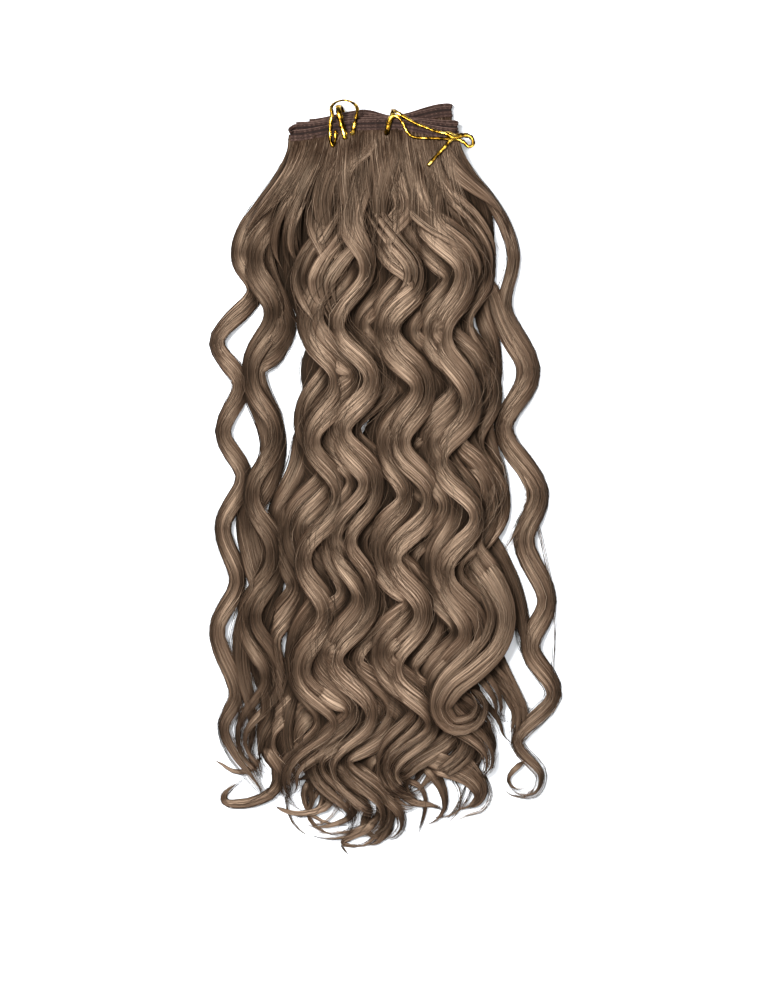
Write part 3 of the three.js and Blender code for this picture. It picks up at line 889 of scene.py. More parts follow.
# a smooth line through points
def throughPoints(points, perSpan=14):
    points = np.asarray(points, float)
    chord = np.sqrt(np.maximum(stepLengths(points), 1e-6))
    knot = np.concatenate([[0], np.cumsum(chord)])
    slope = np.gradient(points, knot, axis=0)
    line = []
    for i in range(len(points) - 1):
        t = np.linspace(0, 1, perSpan, endpoint=i == len(points) - 2)[:, None]
        span = knot[i + 1] - knot[i]
        line.append((2 * t**3 - 3 * t**2 + 1) * points[i] + (t**3 - 2 * t**2 + t) * span * slope[i]
                    + (3 * t**2 - 2 * t**3) * points[i + 1] + (t**3 - t**2) * span * slope[i + 1])
    return np.concatenate(line)


def fromBand(points):                   # across, drop and height to x, y and z
    return [(x, band["lineY"] - drop, z) for x, drop, z in points]


# curled ends that stand clear of the locks: points of the middle as across, drop, height
tips = {
    "tone": 0.64,
    # painted shade: the deep filler hair is darker
    "fillShadeTone": 0.46,
    "ribbonTone": 0.03,
    "riseShare": 0.16,    # the thick end comes up from between the locks
    "startWidth": 0.15,
    "sink": 4.0,
    "flatness": 0.24,
    "thinnest": 0.4,
    "partedWidth": 12,    # above this a run is parted
    "parts": 3,
    "coreWidth": 4,       # and above this it has a core
    "spacing": 0.75,
    "shortest": 0.75,
}
tipRuns = [    # width at the thick end, width at the tip, then the way
    (10, 3, [(-84, 432, 6), (-76, 447, 6), (-78, 462, 5), (-95, 471, 4), (-113, 471, 3), (-114, 466, 3),
             (-107, 459, 3), (-98, 453, 3)]),
    (5, 0.8, [(-88, 440, 4), (-98, 449, 4), (-108, 449, 3), (-116, 444, 2), (-122, 441, 1.5)]),
    (7, 1, [(-36, 462, 7), (-42, 474, 6), (-61, 479, 4), (-74, 476, 3), (-79, 473, 2)]),
    (4, 0.6, [(-60, 446, 6), (-68, 460, 4), (-70, 472, 3), (-66, 485, 2), (-58, 493, 1.5), (-50, 497, 1)]),
    (7, 1.5, [(-6, 478, 6), (-12, 489, 5), (-26, 496, 3), (-31, 500, 2), (-22, 502, 2), (-12, 500, 2)]),
    (8, 1.5, [(4, 468, 6), (3, 481, 5), (-1, 493, 4), (-7, 500, 3), (-15, 502, 2)]),
    (9, 1.5, [(4, 448, 8), (9, 462, 6), (20, 471, 5), (33, 473, 4), (42, 477, 3)]),
    (5, 0.8, [(36, 448, 7), (41, 462, 5), (42, 474, 3), (37, 482, 2), (31, 487, 1)]),
    (10, 2, [(50, 434, 8), (62, 448, 7), (69, 462, 5), (63, 473, 4), (50, 475, 3)]),
    (2.5, 0.5, [(27, 470, 4), (26, 480, 2), (22, 494, 1)]),
    (3, 0.5, [(56, 460, 4), (50, 474, 2), (41, 486, 1)]),
    (2.5, 0.5, [(104, 462, 4), (98, 467, 3), (88, 466, 2), (83, 462, 1.5)]),
    (2, 0.4, [(-24, 496, 3), (-31, 501, 2), (-29, 505, 1), (-26, 508, 1)]),
    (24, 7, [(46, 278, 8), (58, 298, 10), (72, 317, 13), (80, 338, 15.5), (75, 358, 17.5),
             (60, 374, 19.5), (44, 388, 20.5), (38, 404, 19.5), (47, 416, 18), (62, 413, 16.5),
             (67, 401, 15), (60, 392, 13.5), (53, 396, 12)]),
    (3.5, 1.5, [(103, 262, 5), (110, 290, 6), (116, 322, 6), (118, 346, 5), (117, 374, 5), (114, 398, 5),
                (108, 410, 5)]),
    (4, 0.8, [(70, 452, 5), (74, 466, 4), (68, 477, 3), (56, 481, 2), (44, 488, 1)]),
    (4, 0.8, [(62, 446, 6), (60, 462, 4), (52, 476, 3), (38, 482, 2), (30, 480, 1)]),
    (4, 0.8, [(46, 452, 6), (52, 464, 5), (50, 478, 3), (40, 489, 1.5)]),
    (5, 0.8, [(-44, 458, 6), (-52, 470, 5), (-54, 482, 3), (-44, 492, 2), (-28, 496, 1.5)]),
    (5, 0.8, [(-52, 452, 6), (-58, 464, 5), (-54, 478, 4), (-40, 486, 3), (-20, 488, 2)]),
    (4, 0.7, [(-30, 466, 6), (-38, 480, 4), (-46, 486, 3), (-56, 486, 2)]),
    (5, 0.8, [(-14, 476, 6), (-16, 488, 4), (-6, 496, 3), (4, 492, 2), (6, 482, 2)]),
    (9, 1.5, [(-52, 430, 7), (-34, 446, 8), (-16, 456, 8), (-5, 468, 7), (-6, 482, 5), (-20, 490, 4),
              (-38, 493, 3), (-58, 491, 2)]),
    (9, 1.5, [(-66, 434, 7), (-50, 450, 8), (-33, 458, 8), (-22, 468, 7), (-24, 480, 5), (-38, 487, 4),
              (-52, 488, 3), (-61, 485, 2)]),
    (8, 1.2, [(-62, 440, 6), (-52, 452, 7), (-44, 464, 6), (-48, 476, 5), (-62, 480, 3), (-80, 474, 2)]),
    (9, 1.5, [(-30, 438, 8), (-14, 450, 9), (0, 461, 8), (5, 474, 6), (3, 487, 4), (-3, 498, 3),
              (-14, 502, 2)]),
    (8, 1.2, [(-40, 436, 8), (-22, 450, 8), (-8, 464, 7), (0, 480, 5), (-6, 494, 3), (-18, 502, 2),
              (-32, 499, 2)]),
    (7, 1.0, [(-46, 442, 7), (-32, 452, 7), (-18, 466, 6), (-12, 480, 5), (-22, 493, 3), (-40, 497, 2),
              (-56, 494, 1.5)]),
    (13, 4, [(22, 436, 8), (36, 441, 9), (48, 445, 9), (60, 451, 8), (68, 462, 6), (64, 472, 5),
             (54, 475, 3.5)]),
    (9, 1.5, [(28, 446, 8), (42, 450, 9), (56, 456, 8), (64, 466, 6), (58, 474, 4), (44, 478, 3)]),
    (6, 1.0, [(22, 442, 7), (32, 452, 7), (39, 463, 6), (41, 475, 4), (35, 484, 3), (26, 488, 2)]),
    (6, 1.0, [(2, 446, 7), (12, 454, 7), (24, 460, 5), (28, 470, 4), (26, 484, 2), (22, 496, 1.5)]),
    (9, 1.5, [(-88, 428, 6), (-80, 440, 7), (-74, 452, 6), (-82, 464, 5), (-98, 471, 4), (-114, 470, 3)]),
    (5, 0.8, [(98, 442, 6), (90, 448, 5), (86, 455, 4), (90, 461, 4), (102, 461, 4)]),
    (13, 9, [(66, 352, 6), (75, 368, 6), (82, 382, 6), (89, 396, 6), (94, 408, 5), (92, 420, 5),
             (88, 432, 4)]),
]


def addRun(batch, widths, points, tone):
    line = throughPoints(fromBand(points))
    share = np.linspace(0, 1, len(line))
    rise = smooth(share / tips["riseShare"])
    width = mix(*widths, share) * pointed(share) * mix(tips["startWidth"], 1, rise)
    line[:, 2] -= tips["sink"] * (1 - rise)
    run = runOf(line, np.zeros(len(line)), width, np.maximum(width * tips["flatness"], tips["thinnest"]))
    for ribbon in ribbonsOf(run, tips["parts"] if widths[0] > tips["partedWidth"] else 1):
        ribbonTone = tone + rng.normal(0, tips["ribbonTone"])
        addStrands(batch, ribbon, ribbonTone, tips["spacing"], tips["shortest"])
        if widths[0] > tips["coreWidth"]:
            addCore(batch, ribbon, ribbonTone)


fillRuns = [   # deep hair beside the left locks, darker with painted shade
    (30, 16, [(-50, 8, 10), (-57, 38, 6), (-64, 66, 4.5), (-66, 92, 3.5), (-62, 118, 3), (-54, 148, 3)]),
    (26, 22, [(-44, 10, 9), (-52, 40, 5), (-58, 66, 3.5), (-59, 92, 2.6), (-54, 120, 2.6),
              (-46, 150, 2.6)]),
    (16, 10, [(-62, 36, 5), (-70, 58, 3), (-76, 80, 2.6), (-75, 100, 2.6), (-70, 120, 2.6)]),
]
for first, last, points in fillRuns:
    addRun(hairPieces["hair_under_locks"], (first, last), points, tips["fillShadeTone"])
hairPieces["hair_curled_tips"] = newBatch()
for first, last, points in tipRuns:
    addRun(hairPieces["hair_curled_tips"], (first, last), points, tips["tone"])


# the outermost locks, which swing clear of the rest: across and drop of their turns
outer = {
    "perch": 0.8,         # above the base of the pile
    "bendEven": 17,
    "sharpBend": 85,      # percentile of the bend that has the full roll
    "rollDrop": 80.0,
    "widenFrom": 100.0,
    "widenDrop": 60.0,
    "tipFrom": 0.6,
    "riseShare": 0.12,
    "startWidth": 0.15,
    "sink": 3.0,
    "flatness": 0.24,
    "spacing": 0.6,
    "shortest": 0.8,
}
outerRuns = [    # piece, tone, widths above, in the middle and at the tip, then the way
    ("hair_left_locks", 0.50, 12, 16, 14, [
        (-76, 296), (-79, 316), (-86, 338), (-90, 356), (-88, 374), (-82, 392), (-81, 408), (-87, 424),
        (-89, 440), (-84, 458)]),
    ("hair_left_locks", 0.50, 12, 15, 12, [
        (-62, 366), (-66, 388), (-71, 408), (-72, 426), (-67, 444), (-60, 462)]),
    ("hair_left_locks", 0.64, 14, 13, 9, [
        (-61, 4), (-63, 16), (-71, 32), (-86, 52), (-100, 72), (-103, 88), (-92, 112), (-119, 147),
        (-102, 177), (-115, 211), (-100, 242), (-115, 277), (-104, 316), (-119, 350), (-105, 394),
        (-114, 418), (-106, 438), (-95, 452), (-88, 464), (-96, 472), (-110, 472)]),
    ("hair_left_locks", 0.64, 16, 20, 18, [
        (-54, 184), (-56, 208), (-59, 232), (-67, 252), (-75, 268), (-73, 286), (-66, 304), (-62, 320),
        (-70, 336), (-81, 354), (-80, 372), (-73, 392), (-71, 410), (-77, 430), (-76, 448)]),
    ("hair_left_locks", 0.64, 16, 20, 16, [
        (-50, 4), (-55, 16), (-64, 34), (-76, 54), (-86, 76), (-84, 98), (-76, 120), (-71, 138),
        (-80, 153), (-92, 166), (-91, 182), (-82, 204), (-79, 222), (-84, 242), (-94, 262), (-96, 278),
        (-91, 302), (-88, 320), (-96, 340), (-101, 357), (-101, 378), (-96, 400), (-94, 420), (-96, 440),
        (-90, 456), (-82, 466), (-72, 470)]),
    ("hair_right_locks", 0.64, 9, 15, 6, [
        (46, 5), (50, 18), (60, 33), (73, 48), (83, 65), (89, 82), (89, 95), (83, 124), (102, 169),
        (82, 208), (108, 253), (97, 287), (113, 329), (101, 362), (118, 395), (92, 428), (109, 451),
        (105, 464), (93, 465), (86, 457), (89, 450)]),
    ("hair_right_locks", 0.64, 14, 13, 10, [
        (54, 78), (64, 97), (74, 114), (80, 130), (88, 147), (96, 162), (96, 176), (88, 192), (82, 206),
        (87, 222), (98, 238), (103, 254), (98, 269), (90, 283), (82, 296), (76, 312)]),
    ("hair_right_locks", 0.64, 13, 12, 10, [
        (43, 6), (49, 20), (57, 34), (65, 48), (69, 62), (70, 80), (69, 98), (66, 114), (69, 132),
        (75, 150), (76, 168), (73, 188), (70, 206), (74, 222), (80, 240), (82, 256), (79, 272), (72, 290),
        (66, 308)]),
    ("hair_right_locks", 0.64, 12, 12, 10, [
        (66, 274), (74, 288), (82, 301), (88, 314), (93, 330), (96, 346), (97, 360), (102, 374)]),
]


def addOuter(batch, widths, turns, tone):
    above, middle, tip = widths
    line = throughPoints(fromBand([(x, drop, 0) for x, drop in turns]))
    drop = band["lineY"] - line[:, 1]
    sunk = smooth((drop - hair["fullFrom"]) / hair["sinkDrop"])
    line[:, 2] = mix(layerZ(frontLayer), hair["lockBase"] + outer["perch"], sunk)
    heading = np.unwrap(np.arctan2(*np.gradient(line[:, :2], axis=0).T))
    bend = evened(np.gradient(heading), outer["bendEven"])
    bend = np.clip(bend / np.percentile(np.abs(bend), outer["sharpBend"]), -1, 1)
    roll = -math.radians(hair["sideRoll"]) * bend * smooth(drop / outer["rollDrop"])
    share = np.linspace(0, 1, len(line))
    width = mix(above, middle, smooth((drop - outer["widenFrom"]) / outer["widenDrop"]))
    width = mix(width, tip, late(share, outer["tipFrom"])) * pointed(share)
    if drop[0] > hair["fullDrop"]:      # comes up from below the others
        rise = smooth(share / outer["riseShare"])
        width *= mix(outer["startWidth"], 1, rise)
        line[:, 2] -= outer["sink"] * (1 - rise)
    full = smooth((drop - hair["fullFrom"]) / hair["fullDrop"])
    run = runOf(line, roll, width, mix(hair["rootThickness"], width * outer["flatness"], full))
    addCore(batch, run, tone)
    addStrands(batch, run, tone, outer["spacing"], outer["shortest"])


for name, tone, above, middle, tip, turns in outerRuns:
    addOuter(hairPieces[name], (above, middle, tip), turns, tone)
print("tips and outer locks laid")


# tufts that sweep over the others just below the band
tufts = {
    "tone": 0.62,
    "toneSpread": 0.05,
    "inset": 0.3,
    "narrowFrom": 0.4,
    "tipWidth": 0.15,
    "startWidth": 0.4,
    "startShare": 0.2,
    "startThickness": 0.7,
    "fullShare": 0.35,
    "flatness": 0.26,
    "roll": 14.0,
    "rollTurn": 7,
    "reach": 0.9,
    "spacing": 0.7,
    "shortest": 0.5,
}
topRuns = [    # width at the band, width at the end, then the way
    (16, 12, [(-58, 4, 16.5), (-60, 16, 17), (-64, 28, 17.5), (-74, 42, 16.5), (-86, 54, 13),
              (-97, 68, 9), (-103, 84, 6)]),
    (18, 15, [(-46, 4, 16.5), (-50, 18, 17.5), (-57, 32, 18), (-63, 48, 17), (-65, 66, 15), (-61, 86, 12),
              (-54, 104, 10)]),
    (18, 16, [(-28, 3, 16.4), (-33, 16, 17), (-41, 32, 18.5), (-45, 50, 19), (-42, 70, 17.5),
              (-36, 92, 15), (-34, 110, 12)]),
    (15, 11, [(-8, 2, 16.4), (-14, 12, 17.5), (-25, 22, 19), (-30, 34, 19), (-28, 50, 18.5),
              (-22, 68, 17), (-16, 88, 14)]),
    (20, 16, [(4, 2, 16.4), (4, 18, 17.5), (0, 36, 18.5), (-3, 56, 18.5), (2, 78, 17), (10, 98, 14)]),
    (16, 14, [(17, 4, 16.4), (18, 20, 16.8), (21, 38, 18), (29, 56, 18), (38, 74, 16.5), (42, 94, 13)]),
    (14, 12, [(27, 4, 16.4), (31, 22, 16.8), (40, 38, 17.5), (50, 52, 16.5), (58, 68, 14), (59, 90, 11)]),
    (15, 8, [(36, 6, 16.4), (41, 18, 16.8), (51, 31, 17), (62, 40, 15), (74, 49, 12), (83, 61, 9),
             (89, 82, 6)]),
]


def addTuft(batch, widths, points, tone):
    points = fromBand(points)
    rootX = points[0][0]
    rootY = band["lineY"] - float(bandDrop(frontLayer, rootX)) - hair["rootStart"]
    points[0] = (rootX, rootY, layerZ(frontLayer) - tufts["inset"])
    line = throughPoints(points)
    share = np.linspace(0, 1, len(line))
    width = mix(*widths, share) * mix(1, tufts["tipWidth"], late(share, tufts["narrowFrom"]))
    width = width * mix(tufts["startWidth"], 1, smooth(share / tufts["startShare"]))
    thick = mix(tufts["startThickness"], tufts["flatness"] * width, smooth(share / tufts["fullShare"]))
    roll = math.radians(tufts["roll"]) * np.sin(share * tufts["rollTurn"] + someStart())
    run = runOf(line, roll, width, thick)
    addCore(batch, run, tone, tufts["reach"])
    addStrands(batch, run, tone, tufts["spacing"], tufts["shortest"])


topTufts = newBatch()
hairPieces["hair_top_tufts"] = topTufts
for first, last, points in topRuns:
    addTuft(topTufts, (first, last), points, tufts["tone"] + rng.normal(0, tufts["toneSpread"]))


# fine roots in plain view below the strips
roots = {
    "spacing": 0.55,
    "jitter": 0.4,
    "radius": 0.2,
    "length": 34.0,
    "shortest": 0.5,
    "steps": 6,
    "fan": 240.0,         # they spread as if from a point this far above
    "lean": 0.05,
    "bend": 1.2,
    "start": 0.3,
    "rise": 1.3,
    "riseShare": 0.4,
    "tone": 0.63,
    "toneSpread": 0.14,
}


def addFine(batch, middle, radius, tone, way):      # hairs that run down from the band
    spin = around(strand["sides"])
    ring = np.stack([np.cos(spin), 0 * spin, np.sin(spin)], axis=1)
    rings = middle[:, :, None] + radius * ring
    addTubes(batch, rings, np.clip(tone, 0, 1)[:, :, None], way[:, :, None], someLane((len(middle), 1, 1)))


def addRoots(batch, layer, fromX, toX, sink):
    x = np.arange(fromX, toX, roots["spacing"])
    x = (x + rng.uniform(-roots["jitter"], roots["jitter"], len(x)))[:, None]
    share = np.linspace(0, 1, roots["steps"])[None]
    way = share * roots["length"] * rng.uniform(roots["shortest"], 1.0, x.shape)
    drop = bandDrop(layer, x) + hair["rootStart"] + way
    lean = x / roots["fan"] + rng.normal(0, roots["lean"], x.shape)
    across = x + way * lean + rng.normal(0, roots["bend"], x.shape) * share**2
    height = layerZ(layer) + roots["start"] + roots["rise"] * smooth(share / roots["riseShare"])
    height = np.broadcast_to(height - sink * share**2, drop.shape)
    middle = np.stack([across, band["lineY"] - drop, height], axis=-1)
    addFine(batch, middle, roots["radius"], roots["tone"] + rng.normal(0, roots["toneSpread"], x.shape), way)


for layer, fromX, toX, sink in (
    (frontLayer, -65.0, 48.5, 2.6),
    (1, 8.0, 44.0, 0.4),
    (0, 8.0, 43.0, 0.2),
):
    addRoots(topTufts, layer, fromX, toX, sink)


# single hairs that have come away from their lock
stray = {
    "perLock": 8,
    "radius": 0.16,
    "stepLength": 9.0,
    "start": (10, 200),
    "shortest": 0.4,
    "sway": 5.0,
    "topShift": 14.0,
    "wander": 2.0,
    "aside": 0.5,
    "reach": 4.0,
    "reachDrop": 60.0,
    "bendWave": (18, 34),
    "lift": 0.4,
    "floorGap": 0.5,
    "tone": 0.6,
    "toneSpread": 0.12,
}


def addStrays(batch, rows):
    even = {"layer": frontLayer, "spread": hair["spreadDrop"], "roll": 0.0, "breath": 0.0, "lift": 0.0}
    spin = around(strand["sides"])[None, None, :, None]
    for lock in named(lockColumns, rows):
        lock |= even | {"wander": stray["wander"], "uneven": 1}
        for _ in range(stray["perLock"]):
            lock["sway"] = rng.normal(0, stray["sway"])
            lock["topShift"] = rng.normal(0, stray["topShift"])
            lock["wanderFrom"] = someStart()
            run = lockRun(lock, rng.uniform(*stray["start"]))
            share = np.linspace(0, 1, int(run["length"] / stray["stepLength"]))[None]
            share = share * rng.uniform(stray["shortest"], 1.0)
            centre, across, up, width, thick = picked(run, share, "centre", "across", "up", "width", "thick")
            way = (share * run["length"])[..., None]
            bend = np.sin(way / rng.uniform(*stray["bendWave"]) + someStart())
            aside = width * rng.uniform(-stray["aside"], stray["aside"])
            aside = aside + stray["reach"] * bend * smooth(way / stray["reachDrop"])
            middle = centre + across * aside + up * (thick / 2 + stray["lift"])
            middle[..., 2] = np.maximum(middle[..., 2], stray["floorGap"])
            ring = across[:, :, None] * np.cos(spin) + up[:, :, None] * np.sin(spin)
            rings = middle[:, :, None] + stray["radius"] * ring
            addTubes(batch, rings, stray["tone"] + rng.normal(0, stray["toneSpread"]), way, someLane())


hairPieces["hair_stray_hairs"] = newBatch()
addStrays(hairPieces["hair_stray_hairs"], leftRows + middleRows + rightRows + frontRows)
print("tufts, roots and stray hairs laid")


# painted shade: hair that lies beside or under higher hair is darker
depth = {
    "cell": 2.0,
    "size": 300,
    "near": (2.5, 5.0),
    "ways": 8,
    "slack": 0.5,
    "range": 2.5,
    "shade": 0.8,
    "upper": 0.055,       # the hair near the band is a little lighter
    "upperDrop": 150.0,
}


def heightGrid(points):
    place = np.round(points[:, :2] / depth["cell"]).astype(int) + depth["size"] // 2
    place = np.clip(place, 0, depth["size"] - 1)
    grid = np.zeros((depth["size"], depth["size"]))
    np.maximum.at(grid, (place[:, 0], place[:, 1]), points[:, 2])
    return grid


def gridOf(pieces):
    return heightGrid(np.concatenate([top for batch in pieces.values() for top in batch["tops"]]))


def heightAt(grid, flat):
    place = flat / depth["cell"] + depth["size"] // 2
    low = np.clip(place.astype(int), 0, depth["size"] - 2)
    part = place - low
    i, j = low[:, 0], low[:, 1]
    near = mix(grid[i, j], grid[i + 1, j], part[:, 0])
    far = mix(grid[i, j + 1], grid[i + 1, j + 1], part[:, 0])
    return mix(near, far, part[:, 1])


def shadeByDepth(batch, grid):
    points = np.concatenate(batch["points"])
    sunk = np.zeros(len(points))
    for reach in depth["near"]:
        for angle in around(depth["ways"]):
            beside = heightAt(grid, points[:, :2] + reach * np.array([math.cos(angle), math.sin(angle)]))
            sunk += np.clip((beside - points[:, 2] - depth["slack"]) / depth["range"], 0, 1)
    sunk /= len(depth["near"]) * depth["ways"]
    upper = 1 - smooth((band["lineY"] - points[:, 1]) / depth["upperDrop"])
    tone = np.concatenate(batch["tone"]) - depth["shade"] * sunk + depth["upper"] * upper
    batch["tone"] = [np.clip(tone, 0, 1)]


# below the band the hair is still one sheet: fine hairs that lie over the locks
veil = {
    "count": 400,
    "radius": 0.19,
    "tipGirth": 0.35,
    "thinFrom": 0.6,
    "shortest": 24.0,
    "longest": 105.0,
    "shortBias": 1.4,
    "steps": 13,
    "tone": 0.645,
    "toneSpread": 0.08,
    "clumpTone": 0.08,
    "clumpWidth": 2.9,    # neighbours cling together
    "clumpShift": 2.2,
    "shiftWidth": 11.0,
    "sweep": 6.0,
    "sweepWidth": 15.0,
    "sweepWave": 23.0,
    "sweepClump": 0.5,
    "sweepDrop": 80.0,
    "bend": 1.6,
    "lift": 0.3,
    "start": 0.3,
    "startShare": 0.2,
    "tuck": 1.5,          # the tips dip in between the locks
    "tuckFrom": 0.75,
    "floorGap": 0.5,
    "spreadDrop": 100.0,
    "margin": 1.0,
    "rootX": (-65, -50, -37, -24, -12, -1, 11, 21, 30, 40, 48),
    "bodyX": (-102, -84, -49, -29, -12, 7, 21, 37, 52, 64, 72),    # where they have spread to
}


def withNeighbours(values):             # one step before, here and one step after
    padded = np.pad(values, ((0, 0), (1, 1)), mode="edge")
    return np.stack([padded[:, :-2], values, padded[:, 2:]])


def addVeil(batch, grid):
    rootX, bodyX = veil["rootX"], veil["bodyX"]
    x = rng.uniform(rootX[0] + veil["margin"], rootX[-1] - veil["margin"], (veil["count"], 1))
    share = np.linspace(0, 1, veil["steps"])[None]
    length = mix(veil["shortest"], veil["longest"], rng.uniform(0, 1, x.shape) ** veil["shortBias"])
    drop = bandDrop(frontLayer, x) + hair["rootStart"] + share * length
    clump = np.sin(x / veil["clumpWidth"] + veil["clumpShift"] * np.sin(x / veil["shiftWidth"]))
    sweep = np.sin(x / veil["sweepWidth"] + drop / veil["sweepWave"] + veil["sweepClump"] * clump)
    sweep = veil["sweep"] * sweep * smooth(drop / veil["sweepDrop"])
    sweep = sweep + rng.normal(0, veil["bend"], x.shape) * share**2
    across = mix(x, np.interp(x, rootX, bodyX), smooth(drop / veil["spreadDrop"])) + sweep
    flat = np.stack([across, band["lineY"] - drop], axis=-1)
    height = heightAt(grid, flat.reshape(-1, 2)).reshape(drop.shape)
    bridged = withNeighbours(withNeighbours(height).max(0)).mean(0) + veil["lift"]     # they span the grooves
    z = mix(layerZ(frontLayer) + veil["start"], bridged, smooth(share / veil["startShare"]))
    z = z - veil["tuck"] * late(share, veil["tuckFrom"])
    middle = np.concatenate([flat, np.maximum(z, veil["floorGap"])[..., None]], axis=-1)
    radius = veil["radius"] * mix(1, veil["tipGirth"], late(share, veil["thinFrom"]))[:, :, None, None]
    tone = veil["tone"] + veil["clumpTone"] * clump + rng.normal(0, veil["toneSpread"], x.shape)
    addFine(batch, middle, radius, tone, share * length)


# broad flat strands that sweep across the upper third, over the locks
sweeps = {
    "parts": 3,
    "ends": ((0.0, 0.2), (0.8, 1.0)),    # shares of the way where its parts start and end
    "spread": 0.34,
    "drift": 0.35,
    "driftTurn": 5,
    "width": 0.42,
    "startWidth": 0.15,
    "startShare": 0.35,
    "endShare": 0.45,
    "thickness": 0.2,
    "lift": 0.3,
    "liftSpread": (0.3, 1.7),
    "sink": 2.6,
    "tone": 0.61,
    "toneSpread": 0.05,
    "spacing": 0.9,
    "shortest": 0.6,
    "reach": 1.0,
    "sides": 8,
    "even": 25,
    "beside": (-4, 0, 4),
}
sweepRuns = [    # width, then the way as places across and drops
    (17, [(-22, 36), (-30, 56), (-42, 75), (-54, 90), (-59, 104), (-55, 118), (-45, 132), (-38, 146)]),
    (13, [(-12, 58), (-22, 78), (-35, 92), (-43, 106), (-40, 120), (-32, 134), (-28, 148)]),
    (15, [(-14, 40), (-5, 60), (8, 80), (18, 96), (17, 110), (8, 122), (-2, 138)]),
    (14, [(6, 30), (15, 46), (30, 62), (46, 73), (60, 84), (67, 98), (63, 112), (56, 128)]),
    (13, [(30, 24), (38, 40), (50, 53), (60, 64), (70, 80), (73, 96), (70, 112)]),
    (15, [(-46, 16), (-52, 34), (-62, 52), (-70, 68), (-72, 84), (-67, 100), (-66, 116)]),
]


def addSweep(batch, grid, widest, turns):
    whole = throughPoints(fromBand([(x, drop, 0) for x, drop in turns]))
    slope = np.gradient(whole, axis=0)
    side = unit(np.stack([-slope[:, 1], slope[:, 0], 0 * slope[:, 0]], axis=1))
    for place in np.linspace(-1, 1, sweeps["parts"]):
        first, last = (int(len(whole) * rng.uniform(*ends)) for ends in sweeps["ends"])
        line = whole[first:last].copy()
        share = np.linspace(0, 1, len(line))
        drift = place + sweeps["drift"] * np.sin(sweeps["driftTurn"] * share + someStart())
        line += side[first:last] * (drift * sweeps["spread"] * widest)[:, None]
        taper = smooth(share / sweeps["startShare"]) * smooth((1 - share) / sweeps["endShare"])
        high = np.max([heightAt(grid, line[:, :2] + [reach, 0]) for reach in sweeps["beside"]], axis=0)
        line[:, 2] = evened(high, sweeps["even"])
        line[:, 2] += sweeps["lift"] * rng.uniform(*sweeps["liftSpread"]) - sweeps["sink"] * (1 - taper)
        width = sweeps["width"] * widest * mix(sweeps["startWidth"], 1, taper)
        run = runOf(line, 0 * share, width, sweeps["thickness"] * width)
        tone = sweeps["tone"] + rng.normal(0, sweeps["toneSpread"])
        addCore(batch, run, tone, sweeps["reach"], sweeps["sides"])
        addStrands(batch, run, tone, sweeps["spacing"], sweeps["shortest"])


total = 0
lockGrid = gridOf(hairPieces)
for widest, turns in sweepRuns:
    addSweep(topTufts, lockGrid, widest, turns)
hairGrid = gridOf(hairPieces)
addVeil(topTufts, hairGrid)
for name, batch in hairPieces.items():
    shadeByDepth(batch, hairGrid)
    total += placePiece(name, batch, ashHair, "hair")


# the band as one folded strip, ribbed on both faces
sectionColumns = ("tall", "out", "tone")
bandSection = named(sectionColumns, [    # shares of half the height and half the thickness, ribs and furrows, then the tone, with painted shade in the furrows and below the next layer's edge
    (-1.00, 0.45, 0.10), (-0.80, 0.95, 0.60), (-0.55, 0.90, 0.50), (-0.42, 0.45, 0.00),
    (-0.28, 0.95, 0.55), (0.00, 0.95, 0.55), (0.14, 0.45, 0.00), (0.40, 0.60, 0.02), (0.50, 0.95, 0.50),
    (0.70, 0.95, 0.55), (0.78, 0.50, 0.00), (0.88, 1.00, 0.85), (1.00, 0.55, 0.55),
])


def bandFrames():
    along = unit(np.gradient(bandLine, axis=0))
    tall = np.tile(np.array([0.0, 1.0, 0.0]), (len(along), 1))
    face = unit(np.cross(along, tall))
    return along, face, np.cross(face, along)


def addBand(batch):
    along, face, tall = bandFrames()
    back = [(row["tall"], -row["out"], row["tone"]) for row in bandSection]
    front = [(row["tall"], row["out"], row["tone"]) for row in bandSection[::-1]]
    section = np.array(back + front)
    rings = (bandLine[:, None] + tall[:, None] * section[None, :, :1] * band["height"] / 2
             + face[:, None] * section[None, :, 1:2] * band["thickness"] / 2)
    tone = section[None, None, :, 2] + rng.normal(0, band["toneSpread"], (1, len(bandLine), 1))
    addTubes(batch, rings[None], np.clip(tone, 0, 1))


# stitches on the face that looks up: each is a short raised thread, a little aslant
stitch = {
    "step": 1.7,
    "length": 1.2,
    "radius": 0.26,
    "lean": 0.9,
    "rows": (2.4, -0.5, -2.7),           # heights of the sewn lines on the strip
    "bow": ((-0.5, 0.0), (-0.3, 0.8), (0.3, 1.0), (0.5, 0.1)),      # along the stitch, out of the strip
    "girth": (0.5, 1.0, 1.0, 0.5),
    "seat": 0.42,                        # share of the strip's thickness
    "sides": 4,
    "tones": (0.36, 0.74),
    "toneSpread": 0.14,
}


